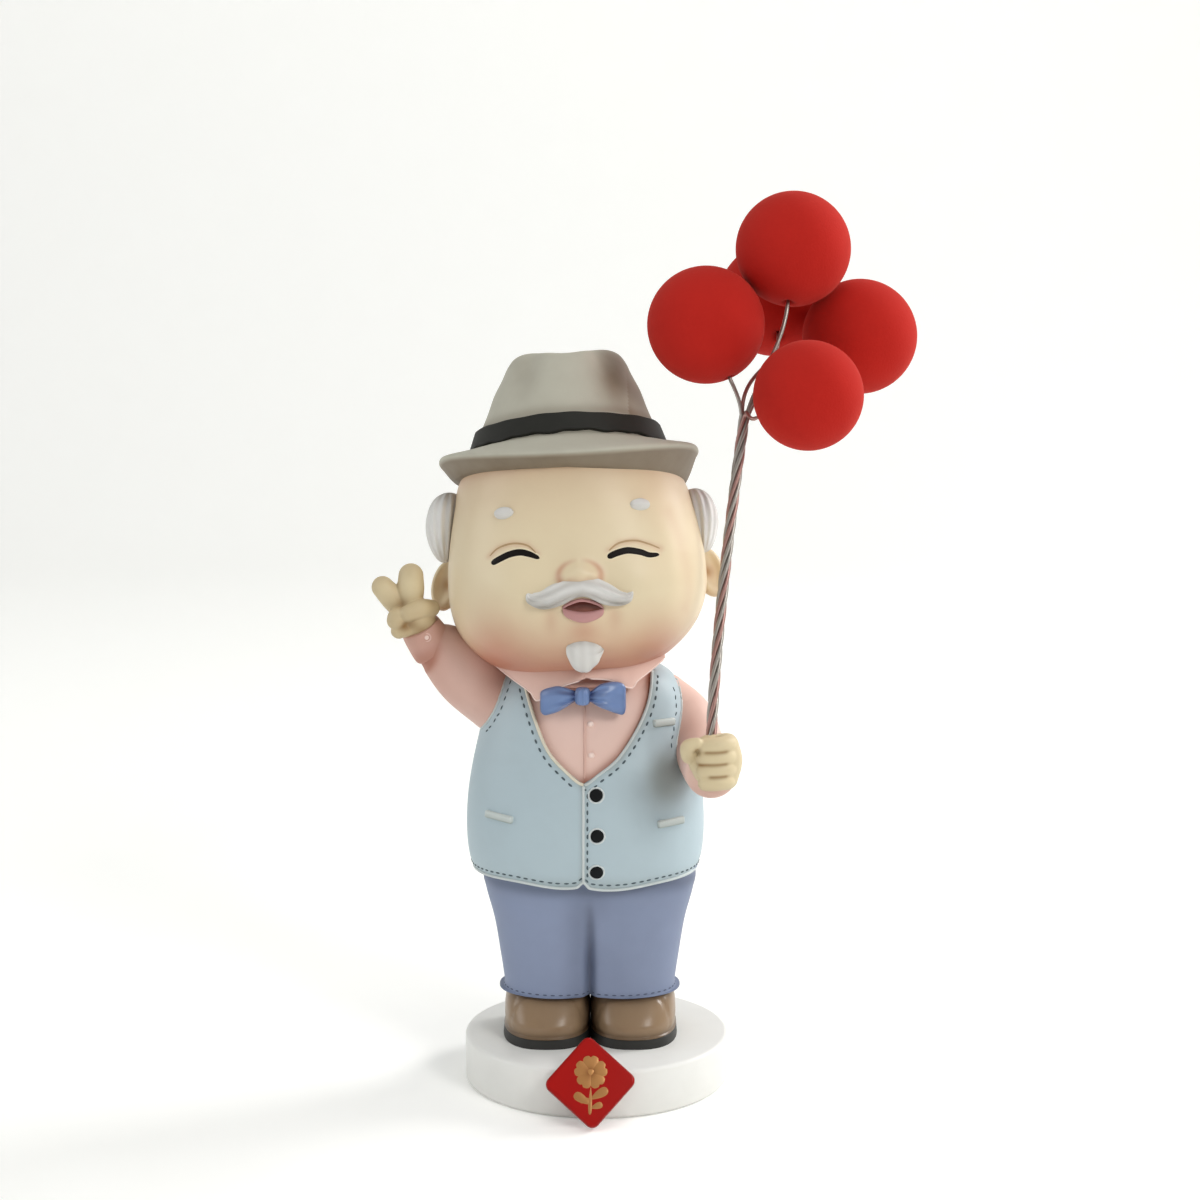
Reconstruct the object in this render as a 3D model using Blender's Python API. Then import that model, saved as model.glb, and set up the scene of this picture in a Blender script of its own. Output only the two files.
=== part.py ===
"""Elderly gentleman figurine holding a bunch of foam balloons.

A painted cast figure on a round plinth grips five wires, twisted into one stem, and each wire carries a
foam ball. A square tile, set on its corner, leans on the front of the plinth. The figure looks along -Y
and the origin is the centre of the plinth's underside. All lengths below are in millimetres.
"""

import math

import bmesh
import bpy
from mathutils import Matrix, Vector

MM = 0.001
GAP = 0.3  # left between neighbouring pieces, because meshes hold 32-bit numbers

# Plinth
PLINTH_RADIUS = 25.0
PLINTH_HEIGHT = 9.0
PLINTH_EDGE = 0.8
PLINTH_SIDES = 48

# Shoes and trousers
FEET_X = -1.2
SHOE_WIDTH = 16.2
SHOE_LENGTH = 22.0
SOLE_THICKNESS = 2.0
HEM_RISE = 8.6
LEG_LENGTH = 22.8
HIP_WIDTH = 40.0

# Torso
TORSO_X = -2.1
TORSO_LENGTH = 41.1
CHEST_WIDTH = 44.6
BELLY_FRONT = 17.8
BACK_DEPTH = 15.4
VEST_THICKNESS = 0.8

# Arms and hands
ARM_RADIUS = 6.0
ARM_DROP = 9.0
RAISED_ARM_LENGTH = 20.6
GRIP_ARM_LENGTH = 24.0
FINGER_RADIUS = 2.15
FIST_WIDTH = 11.4
FIST_HEIGHT = 10.6
FIST_REACH = 4.6
FIST_LIFT = 2.2

# Head and hat, which share one tilted frame
HEAD_RISE = 18.5
HEAD_WIDTH = 47.6
HEAD_LENGTH = 42.0
JAW_DROP = 23.0
HEAD_FRONT = 22.2
HEAD_BACK = 20.0
HEAD_TILT_BACK = math.radians(16.0)
HEAD_LEAN = math.radians(3.0)
BRIM_WIDTH = 48.2
CROWN_WIDTH = 35.0
HAT_HEIGHT = 19.7
BRIM_RISE = 18.4
BRIM_DIP = 3.6
BRIM_CURL = 2.2
CREASE_DEPTH = 1.8

# Wires and balloons
WIRE_DIAMETER = 0.75
WIRE_SPACING = 0.3
STEM_LENGTH = 58.5
STEM_TURNS = 3.0
HOLE_DEPTH = 3.8
BALL_RADIUS = 10.5

# Front tile
TILE_SIDE = 12.2
TILE_THICKNESS = 2.0
TILE_LEAN = math.radians(27.0)
TILE_ROLL = math.radians(42.0)


# Heights and frames that follow from the sizes above
SOLE_TOP = PLINTH_HEIGHT + SOLE_THICKNESS
HEM = PLINTH_HEIGHT + HEM_RISE
WAIST = HEM + LEG_LENGTH
SHOULDER = WAIST + TORSO_LENGTH
HEAD = (
    Matrix.Translation((TORSO_X - 1.6, -2.0, SHOULDER + HEAD_RISE))
    @ Matrix.Rotation(-HEAD_LEAN, 4, "Y")
    @ Matrix.Rotation(-HEAD_TILT_BACK, 4, "X")
)
ARM_ROOT_Z = SHOULDER - ARM_DROP
RAISED_ROOT = Vector((TORSO_X - 0.37 * CHEST_WIDTH, -1.0, ARM_ROOT_Z))
GRIP_ROOT = Vector((TORSO_X + 0.37 * CHEST_WIDTH, -0.5, ARM_ROOT_Z))
RAISED_WRIST = RAISED_ROOT + Vector((-0.67, -0.24, 0.70)) * RAISED_ARM_LENGTH
GRIP_WRIST = GRIP_ROOT + Vector((0.25, -0.87, -0.33)) * GRIP_ARM_LENGTH
FIST = GRIP_WRIST + Vector((-0.1, -FIST_REACH, FIST_LIFT))
WIRE_RADIUS = WIRE_DIAMETER / 2
STRANDS = 5
STEM_RADIUS = (WIRE_DIAMETER + WIRE_SPACING) / (2 * math.sin(math.pi / STRANDS))
STEM_FOOT = FIST + Vector((0.0, 0.0, FIST_HEIGHT / 2 - HOLE_DEPTH + GAP))


def smooth(table, t):
    """The values at t on a smooth curve through a table whose rows are (t, value, value, ...)."""
    t = min(max(t, table[0][0]), table[-1][0])
    i = 0
    while i < len(table) - 2 and table[i + 1][0] < t:
        i += 1
    low, high = table[i], table[i + 1]
    span = high[0] - low[0]
    s = (t - low[0]) / span
    before = table[i - 1] if i else low
    after = table[i + 2] if i + 2 < len(table) else high
    values = []
    for k in range(1, len(low)):
        rise_low = (high[k] - before[k]) / (high[0] - before[0]) * span
        rise_high = (after[k] - low[k]) / (after[0] - low[0]) * span
        values.append(
            (2 * s**3 - 3 * s**2 + 1) * low[k]
            + (s**3 - 2 * s**2 + s) * rise_low
            + (3 * s**2 - 2 * s**3) * high[k]
            + (s**3 - s**2) * rise_high
        )
    return values


def material(name, colour, roughness, metallic=0.0):
    """A material whose colour is given as sRGB shares."""
    made = bpy.data.materials.new(name)
    made.use_nodes = True
    shader = made.node_tree.nodes["Principled BSDF"]
    linear = [c / 12.92 if c <= 0.04045 else ((c + 0.055) / 1.055) ** 2.4 for c in colour]
    shader.inputs["Base Color"].default_value = (*linear, 1.0)
    shader.inputs["Roughness"].default_value = roughness
    shader.inputs["Metallic"].default_value = metallic
    made.diffuse_color = (*linear, 1.0)
    return made


def add(name, bm):
    """Turns a closed form, drawn in millimetres, into an object in metres."""
    bmesh.ops.recalc_face_normals(bm, faces=bm.faces)
    bmesh.ops.scale(bm, vec=(MM, MM, MM), verts=bm.verts)
    mesh = bpy.data.meshes.new(name)
    bm.to_mesh(mesh)
    bm.free()
    made = bpy.data.objects.new(name, mesh)
    bpy.context.scene.collection.objects.link(made)
    return made


def helper(made, group=None):
    """Keeps a form that is only joined to, or cut from, another piece out of the part."""
    made.hide_render = True
    made.display_type = "WIRE"
    if group:
        group.objects.link(made)
    return made


def loft(name, rings):
    """A closed form through rings of equal point count, each end closed by one face."""
    bm = bmesh.new()
    rows = [[bm.verts.new(point) for point in ring] for ring in rings]
    count = len(rows[0])
    for low, high in zip(rows, rows[1:]):
        for k in range(count):
            bm.faces.new((low[k], low[(k + 1) % count], high[(k + 1) % count], high[k]))
    bm.faces.new(rows[0][::-1])
    bm.faces.new(rows[-1])
    return add(name, bm)


def oval(frame, x, z, half_width, front, back, power, sides):
    """One level ring of a frame: a rounded oval with its own depth to the front and to the back."""
    points = []
    for k in range(sides):
        angle = 2 * math.pi * k / sides
        across, along = math.sin(angle), math.cos(angle)
        depth = front if along > 0 else back
        u = x + math.copysign(abs(across) ** (2 / power), across) * half_width
        v = -math.copysign(abs(along) ** (2 / power), along) * depth
        points.append(frame @ Vector((u, v, z)))
    return points


def limb(name, joints, sides, steps=3, cap=0.75):
    """A round limb along joints given as (point, radius), with domed ends."""
    table = [(i, *point, radius) for i, (point, radius) in enumerate(joints)]
    count = (len(table) - 1) * steps
    path = [smooth(table, i / steps) for i in range(count + 1)]
    centres = [Vector(row[:3]) for row in path]
    radii = [row[3] for row in path]
    tangents = []
    for i in range(count + 1):
        tangents.append((centres[min(i + 1, count)] - centres[max(i - 1, 0)]).normalized())
    if cap:
        centres = [centres[0] - tangents[0] * radii[0] * cap * 0.75] + centres
        centres.append(centres[-1] + tangents[-1] * radii[-1] * cap * 0.75)
        radii = [radii[0] * 0.55] + radii + [radii[-1] * 0.55]
        tangents = [tangents[0]] + tangents + [tangents[-1]]
    rings = []
    for centre, radius, tangent in zip(centres, radii, tangents):
        side = tangent.cross(Vector((0, 1, 0))).normalized()
        up = side.cross(tangent)
        ring = []
        for k in range(sides):
            angle = 2 * math.pi * k / sides
            ring.append(centre + (side * math.cos(angle) + up * math.sin(angle)) * radius)
        rings.append(ring)
    return loft(name, rings)


def blob(name, centre, radii, frame=Matrix.Identity(4), turn=(0, 0, 0), sides=10):
    """An egg-shaped form placed in a frame, turned by degrees about its own axes."""
    rotation = Matrix.Identity(4)
    for axis, degrees in zip("ZYX", reversed(turn)):
        rotation = rotation @ Matrix.Rotation(math.radians(degrees), 4, axis)
    bm = bmesh.new()
    place = frame @ Matrix.Translation(centre) @ rotation @ Matrix.Diagonal((*radii, 1.0))
    bmesh.ops.create_uvsphere(bm, u_segments=sides, v_segments=sides * 2 // 3, radius=1.0, matrix=place)
    return add(name, bm)


def slab(name, outline, front, back):
    """A flat form from an outline of (x, z) points, between two depths."""
    near = [Vector((x, front, z)) for x, z in outline]
    far = [Vector((x, back, z)) for x, z in outline]
    return loft(name, [near, far])


def cylinder(name, start, end, radius, sides=20):
    """A straight round cutter between two points."""
    axis = end - start
    place = Matrix.Translation((start + end) / 2) @ axis.to_track_quat("Z", "Y").to_matrix().to_4x4()
    bm = bmesh.new()
    bmesh.ops.create_cone(
        bm, cap_ends=True, segments=sides, radius1=radius, radius2=radius, depth=axis.length, matrix=place
    )
    return add(name, bm)


def boolean(target, operation, operand):
    """Joins or cuts a piece with one form or with a group of forms."""
    step = target.modifiers.new(operation.lower(), "BOOLEAN")
    step.operation = operation
    step.solver = "EXACT"
    if isinstance(operand, bpy.types.Collection):
        step.operand_type = "COLLECTION"
        step.collection = operand
    else:
        step.object = operand


for leftover in list(bpy.data.objects):
    bpy.data.objects.remove(leftover)

forms = bpy.data.collections.new("figure_forms")
bpy.context.scene.collection.children.link(forms)

# Plinth, the body of the casting that the other forms join
bm = bmesh.new()
bmesh.ops.create_cone(
    bm,
    cap_ends=True,
    segments=PLINTH_SIDES,
    radius1=PLINTH_RADIUS,
    radius2=PLINTH_RADIUS,
    depth=PLINTH_HEIGHT,
    matrix=Matrix.Translation((0, 0, PLINTH_HEIGHT / 2)),
)
rims = [edge for edge in bm.edges if abs(edge.verts[0].co.z - edge.verts[1].co.z) < 0.1]
bmesh.ops.bevel(bm, geom=rims, offset=PLINTH_EDGE, segments=2, affect="EDGES", profile=0.5)
figure = add("figure", bm)
figure.data.materials.append(material("painted_resin", (0.61, 0.67, 0.71), 0.5))

# Shoes: a flat sole under a bulbous upper, one for each foot
for side in (-1, 1):
    foot = Matrix.Translation((FEET_X + side * SHOE_WIDTH / 2, 0, 0))
    half = SHOE_WIDTH / 2 + 0.15
    toe = 0.57 * SHOE_LENGTH
    heel = 0.43 * SHOE_LENGTH
    sole = [oval(foot, 0, z, half, toe, heel, 2.6, 24) for z in (PLINTH_HEIGHT - 0.8, SOLE_TOP)]
    helper(loft(f"sole_{side}", sole), forms)
    upper_rise = HEM - SOLE_TOP
    upper = [
        (SOLE_TOP - 0.6, 0.93, 0.95, 0.95),
        (SOLE_TOP + 0.36 * upper_rise, 0.97, 0.97, 0.95),
        (SOLE_TOP + 0.70 * upper_rise, 0.91, 0.89, 0.90),
        (HEM + 0.3, 0.90, 0.77, 0.87),
        (HEM + 1.6, 0.60, 0.50, 0.66),
    ]
    rings = [oval(foot, 0, z, half * w, toe * f, heel * b, 2.4, 24) for z, w, f, b in upper]
    helper(loft(f"upper_{side}", rings), forms)

# Trousers: two straight legs that meet in a seam, standing on the shoes and reaching into the waistcoat
LEG = [
    (0.0, 0.80, 0.70),
    (0.03, 0.83, 0.72),
    (0.3, 0.845, 0.77),
    (0.6, 0.90, 0.86),
    (0.96, 0.975, 0.92),
    (1.2, 0.70, 0.66),
]
seam = FEET_X - 0.1
for side in (-1, 1):
    rings = []
    for share in (0.0, 0.03, 0.2, 0.4, 0.6, 0.8, 0.96, 1.15):
        width, depth = smooth(LEG, share)
        half = HIP_WIDTH / 4 * width + 0.35
        centre = seam + side * (half - 0.7)
        front, back = 0.82 * BELLY_FRONT * depth, 0.84 * BACK_DEPTH * depth
        z = HEM + share * LEG_LENGTH
        rings.append(oval(Matrix.Identity(4), centre, z, half, front, back, 2.6, 24))
    helper(loft(f"leg_{side}", rings), forms)

# Waistcoat: a rounded body with a V opening, over the shirt
TORSO = [
    (-0.058, 0.86, 0.84, 0.84),
    (0.015, 0.93, 0.90, 0.90),
    (0.088, 0.98, 0.965, 0.965),
    (0.209, 1.0, 1.0, 1.0),
    (0.355, 0.99, 0.985, 1.0),
    (0.501, 0.95, 0.93, 0.97),
    (0.647, 0.89, 0.86, 0.92),
    (0.793, 0.83, 0.775, 0.85),
    (0.87, 0.78, 0.715, 0.78),
    (0.93, 0.69, 0.64, 0.68),
    (0.97, 0.53, 0.50, 0.54),
    (1.0, 0.28, 0.28, 0.28),
]


def torso(name, inset, first, last):
    """The torso's form, drawn in from the waistcoat's surface by an inset."""
    rings = []
    count = 14
    for i in range(count + 1):
        share = first + (last - first) * i / count
        width, front, back = smooth(TORSO, share)
        half = CHEST_WIDTH / 2 * width - inset
        z = WAIST + share * TORSO_LENGTH
        ahead = BELLY_FRONT * front - inset
        behind = BACK_DEPTH * back - inset
        rings.append(oval(Matrix.Identity(4), TORSO_X, z, half, ahead, behind, 2.35, 36))
    return loft(name, rings)


vest = helper(torso("vest", 0.0, 0.0, 0.97), forms)
helper(torso("shirt", VEST_THICKNESS, 0.1, 1.0), forms)
opening = [(-0.267, 1.02), (-0.204, 0.74), (-0.150, 0.625), (-0.083, 0.545), (-0.009, 0.485)]
opening += [(0.056, 0.525), (0.141, 0.60), (0.226, 0.74), (0.278, 1.02)]
neckline = [(TORSO_X + x * CHEST_WIDTH, WAIST + share * TORSO_LENGTH) for x, share in opening]
cutter = helper(slab("v_cutter", neckline, -1.3 * BELLY_FRONT, -0.2 * BELLY_FRONT))
boolean(vest, "DIFFERENCE", cutter)

# Collar points and bow tie under the chin
collar_front = -0.86 * BELLY_FRONT
collar_x = TORSO_X - 0.03 * CHEST_WIDTH
for side in (-1, 1):
    flap = [(0.018, -0.034), (0.067, 0.015), (0.335, 0.045)]
    flap += [(0.345, -0.020), (0.215, -0.115), (0.170, -0.107)]
    outline = [(side * x * CHEST_WIDTH, SHOULDER + z * TORSO_LENGTH) for x, z in flap]
    rings = []
    for depth in (collar_front, -0.2 * BELLY_FRONT):
        rings.append([Vector((collar_x + x, depth + 2.0 * x**2 / CHEST_WIDTH, z)) for x, z in outline])
    helper(loft(f"collar_{side}", rings), forms)
BOW = [
    # across, half height and half depth as shares of the bow's width, and how far the wing droops
    (0.0, 0.085, 0.165, 0.0),
    (0.12, 0.125, 0.185, 0.0),
    (0.32, 0.185, 0.215, 0.02),
    (0.5, 0.195, 0.190, 0.05),
]
bow_width = 0.35 * CHEST_WIDTH
bow = Vector((TORSO_X - 0.009 * CHEST_WIDTH, -0.79 * BELLY_FRONT, SHOULDER - 0.125 * TORSO_LENGTH))
for side in (-1, 1):
    wing = []
    for x, tall, thick, droop in BOW:
        middle = bow + Vector((side * x, 0, 0.05 * side * x - droop)) * bow_width
        ring = []
        for k in range(12):
            angle = math.pi * (k + 0.5) / 6
            turned = Vector((0, thick * math.cos(angle), tall * math.sin(angle)))
            ring.append(middle + turned * bow_width)
        wing.append(ring)
    helper(loft(f"bow_{side}", wing), forms)
knot = bow + Vector((0, -0.06, 0.01)) * bow_width
knot_radii = (0.12 * bow_width, 0.2 * bow_width, 0.135 * bow_width)
helper(blob("bow_knot", knot, knot_radii), forms)

# Raised arm with its open hand
away = [(0, 0, 0, 1.0), (-0.29, -0.10, 0.23, 0.90), (-0.51, -0.18, 0.49, 0.68), (-0.67, -0.24, 0.70, 0.56)]
joints = [(RAISED_ROOT + Vector(step[:3]) * RAISED_ARM_LENGTH, ARM_RADIUS * step[3]) for step in away]
helper(limb("raised_sleeve", joints, 16, cap=0.3), forms)
palm = RAISED_WRIST + Vector((-2.0, -1.0, 3.2))
helper(blob("palm", palm, (4.5, 2.9, 4.4), turn=(0, 20, 0)), forms)
for name, start, end, radius in (
    ("finger_a", (-2.4, 0.0, 1.6), (-5.0, -0.5, 5.8), 1.0),
    ("finger_b", (1.0, 0.2, 2.0), (0.4, -0.3, 7.9), 1.05),
    ("curled_a", (2.9, -1.4, 2.3), (2.6, -3.0, -0.6), 0.78),
    ("curled_b", (4.3, -0.6, 0.9), (4.0, -2.2, -1.6), 0.72),
    ("thumb", (-2.4, -1.6, -2.2), (2.2, -3.8, -0.2), 0.80),
):
    thick = FINGER_RADIUS * radius
    ends = [(palm + Vector(start), thick), (palm + Vector(end), thick * 0.93)]
    helper(limb(name, ends, 10), forms)

# Bent arm, whose closed fist grips the stem
bend = [
    # across, along and up as shares of the arm's length, then the thickness
    (-0.03, 0.02, -0.02, 0.80),
    (0.08, -0.08, -0.18, 0.88),
    (0.18, -0.34, -0.32, 0.82),
    (0.235, -0.61, -0.37, 0.75),
    (0.25, -0.87, -0.33, 0.70),
]
joints = [(GRIP_ROOT + Vector(step[:3]) * GRIP_ARM_LENGTH, ARM_RADIUS * step[3]) for step in bend]
helper(limb("grip_sleeve", joints, 16, cap=0.3), forms)
fist_half = FIST_WIDTH / 2
helper(blob("fist", FIST + Vector((0, 0.6, 0)), (fist_half * 0.94, 4.4, FIST_HEIGHT / 2)), forms)
for i in range(4):
    z = FIST_HEIGHT * (0.345 - 0.232 * i)
    knuckles = [
        (FIST + Vector((fist_half * 0.74, 0.4, z)), 0.145 * FIST_HEIGHT),
        (FIST + Vector((fist_half * 0.62, -3.4, z)), 0.145 * FIST_HEIGHT),
        (FIST + Vector((-fist_half * 0.25, -4.1, z - 0.3)), 0.13 * FIST_HEIGHT),
    ]
    helper(limb(f"grip_finger_{i}", knuckles, 10, steps=2), forms)
thumb = [
    (FIST + Vector((-fist_half * 0.78, -0.8, 2.2)), 0.79 * FINGER_RADIUS),
    (FIST + Vector((-fist_half * 0.5, -4.4, 0.2)), 0.67 * FINGER_RADIUS),
]
helper(limb("grip_thumb", thumb, 10), forms)

# Head: an egg form that widens to the jaw
EGG = [
    # height as a share of the head's length from the jaw up, shift, width, front, back
    (0.0, -0.04, 0.12, 0.15, 0.10),
    (0.024, -0.04, 0.38, 0.50, 0.40),
    (0.071, -0.04, 0.60, 0.70, 0.56),
    (0.143, -0.035, 0.775, 0.85, 0.70),
    (0.238, -0.02, 0.915, 0.93, 0.82),
    (0.357, -0.005, 0.99, 0.975, 0.92),
    (0.476, 0.0, 1.0, 0.99, 0.97),
    (0.619, 0.0, 0.975, 1.0, 1.0),
    (0.762, 0.0, 0.935, 1.0, 1.0),
    (0.905, 0.0, 0.885, 0.95, 0.95),
    (0.952, 0.0, 0.76, 0.84, 0.84),
    (1.0, 0.0, 0.40, 0.45, 0.45),
]
HEAD_HALF = HEAD_WIDTH / 2
rings = []
for share in (0, 0.012, 0.036, 0.071, 0.119, 0.179, 0.25, 0.333, 0.429, 0.548, 0.667, 0.786, 0.905, 0.952, 1):
    shift, width, front, back = smooth(EGG, share)
    w = share * HEAD_LENGTH - JAW_DROP
    across, ahead, behind = HEAD_HALF * width, HEAD_FRONT * front, HEAD_BACK * back
    rings.append(oval(HEAD, HEAD_HALF * shift, w, across, ahead, behind, 2.35, 36))
helper(loft("skull", rings), forms)
FEATURES = [
    # name, place across, ahead and up as shares of the head's half width, front and length, radii, turn
    ("ear_a", (-1.045, 0.18, -0.078), (0.092, 0.101, 0.193), (0, 12, 0)),
    ("ear_b", (1.045, 0.18, -0.078), (0.092, 0.101, 0.193), (0, -12, 0)),
    ("nose", (0.025, -1.014, -0.124), (0.126, 0.122, 0.109), (0, 0, 0)),
    ("nostril_a", (-0.084, -0.973, -0.148), (0.076, 0.080, 0.059), (0, 0, 0)),
    ("nostril_b", (0.134, -0.973, -0.148), (0.076, 0.080, 0.059), (0, 0, 0)),
    ("moustache_a", (-0.143, -0.96, -0.229), (0.227, 0.080, 0.084), (0, -14, 12)),
    ("moustache_b", (0.202, -0.96, -0.226), (0.227, 0.080, 0.084), (0, 14, -12)),
    ("lip", (0.038, -0.914, -0.329), (0.122, 0.055, 0.050), (0, 0, 0)),
    ("goatee", (0.038, -0.72, -0.476), (0.155, 0.097, 0.101), (-35, 0, 0)),
    ("brow_a", (-0.513, -0.90, 0.138), (0.080, 0.042, 0.046), (0, -8, 30)),
    ("brow_b", (0.5, -0.90, 0.145), (0.080, 0.042, 0.046), (0, 8, -30)),
    ("hair_a", (-1.005, -0.045, 0.183), (0.122, 0.193, 0.252), (0, 8, 0)),
    ("hair_b", (0.975, -0.045, 0.143), (0.118, 0.193, 0.244), (0, -8, 0)),
]
for name, place, radii, turn in FEATURES:
    centre = (place[0] * HEAD_HALF, place[1] * HEAD_FRONT, place[2] * HEAD_LENGTH)
    radii = [radius * HEAD_HALF for radius in radii]
    helper(blob(name, centre, radii, HEAD, turn), forms)
nape = (0, 0.3 * HEAD_BACK, 0.024 * HEAD_LENGTH)
nape_radii = (0.985 * HEAD_HALF, 0.78 * HEAD_BACK, 0.38 * HEAD_LENGTH)
helper(blob("hair_back", nape, nape_radii, HEAD, sides=24), forms)

# Hat: one turned form, from inside the head out to the brim and up over the dented crown
HAT_SIDES = 36
crown_half = CROWN_WIDTH / 2
brim_half = BRIM_WIDTH / 2
CROWN_START = 0.28
hat_x = -0.01 * HEAD_WIDTH
HAT = [
    # half width, front and back depth shares, height as a share of the hat's, how much the brim bends
    (0.95 * crown_half, 1.0, 1.0, -0.198, 0.0),
    (1.19 * crown_half, 1.03, 1.0, -0.178, 0.5),
    (0.985 * brim_half, 1.07, 1.07, -0.020, 0.95),
    (brim_half, 1.07, 1.07, 0.015, 1.0),
    (0.985 * brim_half, 1.07, 1.07, 0.040, 1.0),
    (1.14 * crown_half, 1.07, 1.05, 0.061, 0.3),
    (1.035 * crown_half, 1.07, 1.03, 0.081, 0.0),
    (0.965 * crown_half, 1.08, 1.04, 0.269, 0.0),
    (0.925 * crown_half, 1.08, 1.04, 0.274, 0.0),
    (0.84 * crown_half, 1.10, 1.06, 0.437, 0.0),
    (0.765 * crown_half, 1.12, 1.08, 0.614, 0.0),
    (0.70 * crown_half, 1.14, 1.10, 0.766, 0.0),
    (0.625 * crown_half, 1.16, 1.12, 0.893, 0.0),
    (0.555 * crown_half, 1.18, 1.14, 0.975, 0.0),
    (0.47 * crown_half, 1.20, 1.15, 1.0, 0.0),
    (0.30 * crown_half, 1.25, 1.20, 0.954, 0.0),
    (0.12 * crown_half, 1.30, 1.30, 0.914, 0.0),
]
rings = []
for half, front, back, share, rim in HAT:
    ring = []
    lift = max(0.0, (share - CROWN_START) / (1 - CROWN_START))
    for k in range(HAT_SIDES):
        angle = 2 * math.pi * k / HAT_SIDES
        across, along = math.sin(angle), math.cos(angle)
        pinch = 1 - 0.14 * lift * math.exp(-(((abs(across) - 0.62) / 0.22) ** 2)) * (along > 0)
        w = BRIM_RISE + share * HAT_HEIGHT
        w -= CREASE_DEPTH * lift**3 * math.exp(-((across * half / (0.34 * crown_half)) ** 2))
        w += rim * (-BRIM_DIP * max(along, 0.0) ** 2 + BRIM_CURL * max(-along, 0.0) ** 2)
        depth = half * (front if along > 0 else back)
        ring.append(HEAD @ Vector((hat_x + 0.5 * lift + half * across * pinch, -depth * along * pinch, w)))
    rings.append(ring)
helper(loft("hat", rings), forms)
boolean(figure, "UNION", forms)


def stem(share):
    """The middle of the twisted wires, from the foot in the fist to the fork."""
    rise = share * STEM_LENGTH
    return STEM_FOOT + Vector((0.107 * STEM_LENGTH * share**1.4, 0.235 * rise, rise))


# Blind hole in the top of the fist for the five wires
along = (stem(0.08) - stem(0.0)).normalized()
socket_radius = STEM_RADIUS + WIRE_RADIUS + GAP
socket_end = STEM_FOOT + along * 2 * HOLE_DEPTH
socket = helper(cylinder("socket", STEM_FOOT - along * GAP, socket_end, socket_radius))
boolean(figure, "DIFFERENCE", socket)

# Balloons and their wires: place from the fork and size in ball radii, then the side the wire enters by
FORK = stem(1.0)
BALLS = [
    ("front", (1.03, -0.60, 0.38), 0.931, (-1.0, 0.15, -0.45)),
    ("right", (2.10, 1.55, 1.27), 1.01, (-0.85, -0.22, -0.42)),
    ("top", (0.87, 0.98, 2.80), 0.997, (-0.12, -0.40, -1.0)),
    ("back", (0.71, 2.98, 1.88), 1.034, (0.0, -1.0, -0.75)),
    ("left", (-0.65, 0.50, 1.515), 1.012, (0.45, -0.25, -1.0)),
]
foam = material("red_foam", (0.62, 0.13, 0.10), 0.95)
steel = material("craft_wire", (0.52, 0.48, 0.45), 0.35, 1.0)
for i, (place, offset, size, entry) in enumerate(BALLS):
    radius = BALL_RADIUS * size
    centre = FORK + Vector(offset) * BALL_RADIUS
    entry = Vector(entry).normalized()

    points = []
    steps = 38
    for step in range(steps + 1):
        share = step / steps
        middle = stem(share)
        axis = (stem(share + 0.01) - stem(share - 0.01 if share else 0.0)).normalized()
        side = axis.cross(Vector((0, 1, 0))).normalized()
        ahead = axis.cross(side)
        angle = math.radians(93.4 + 72.0 * i) + 2 * math.pi * STEM_TURNS * share
        points.append(middle + (side * math.cos(angle) + ahead * math.sin(angle)) * STEM_RADIUS)
    start = points[-1]
    leave = (axis + (start - middle).normalized() * 0.25).normalized()
    mouth = centre + entry * (radius + 0.4)
    reach = (mouth - start).length
    branch = 10
    for step in range(1, branch + 1):
        t = step / branch
        points.append(
            start * (1 - t) ** 3
            + (start + leave * reach * 0.55) * 3 * t * (1 - t) ** 2
            + (mouth + entry * reach * 0.35) * 3 * t**2 * (1 - t)
            + mouth * t**3
        )
    points.append(centre + entry * (radius - HOLE_DEPTH + GAP))
    wire = limb(f"wire_{place}", [(point, WIRE_RADIUS) for point in points], 6, steps=1, cap=0)
    wire.data.materials.append(steel if place == "front" else steel.copy())

    bm = bmesh.new()
    stand = Matrix.Translation(centre) @ entry.to_track_quat("Z", "Y").to_matrix().to_4x4()
    bmesh.ops.create_uvsphere(bm, u_segments=20, v_segments=11, radius=radius, matrix=stand)
    ball = add(f"balloon_{place}", bm)
    ball.data.materials.append(foam if place == "front" else foam.copy())
    inner = centre + entry * (radius - HOLE_DEPTH)
    outer = centre + entry * (radius + 1.0)
    bore = helper(cylinder(f"bore_{place}", inner, outer, WIRE_RADIUS + GAP, 12))
    boolean(ball, "DIFFERENCE", bore)

# Tile: rounded square, standing on one corner and leaning on the plinth's rim
bm = bmesh.new()
bmesh.ops.create_cube(bm, size=1.0, matrix=Matrix.Diagonal((TILE_SIDE, TILE_THICKNESS, TILE_SIDE, 1.0)))
corners = [edge for edge in bm.edges if abs(edge.verts[0].co.y - edge.verts[1].co.y) > 0.1]
bmesh.ops.bevel(bm, geom=corners, offset=0.12 * TILE_SIDE, segments=3, affect="EDGES", profile=0.5)
borders = [edge for edge in bm.edges if abs(edge.verts[0].co.y - edge.verts[1].co.y) < 0.01]
bmesh.ops.bevel(bm, geom=borders, offset=0.22 * TILE_THICKNESS, segments=2, affect="EDGES", profile=0.5)
bmesh.ops.rotate(bm, matrix=Matrix.Rotation(TILE_ROLL, 3, "Y"), verts=bm.verts)
bmesh.ops.rotate(bm, matrix=Matrix.Rotation(-TILE_LEAN, 3, "X"), verts=bm.verts)
lowest = min(vert.co.z for vert in bm.verts)
rise = GAP - lowest
touch_z = PLINTH_HEIGHT - PLINTH_EDGE
touch_y = -PLINTH_RADIUS + PLINTH_EDGE
reach = TILE_THICKNESS / 2 + PLINTH_EDGE + GAP
slide = touch_y - reach / math.cos(TILE_LEAN) + (rise - touch_z) * math.tan(TILE_LEAN)
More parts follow.
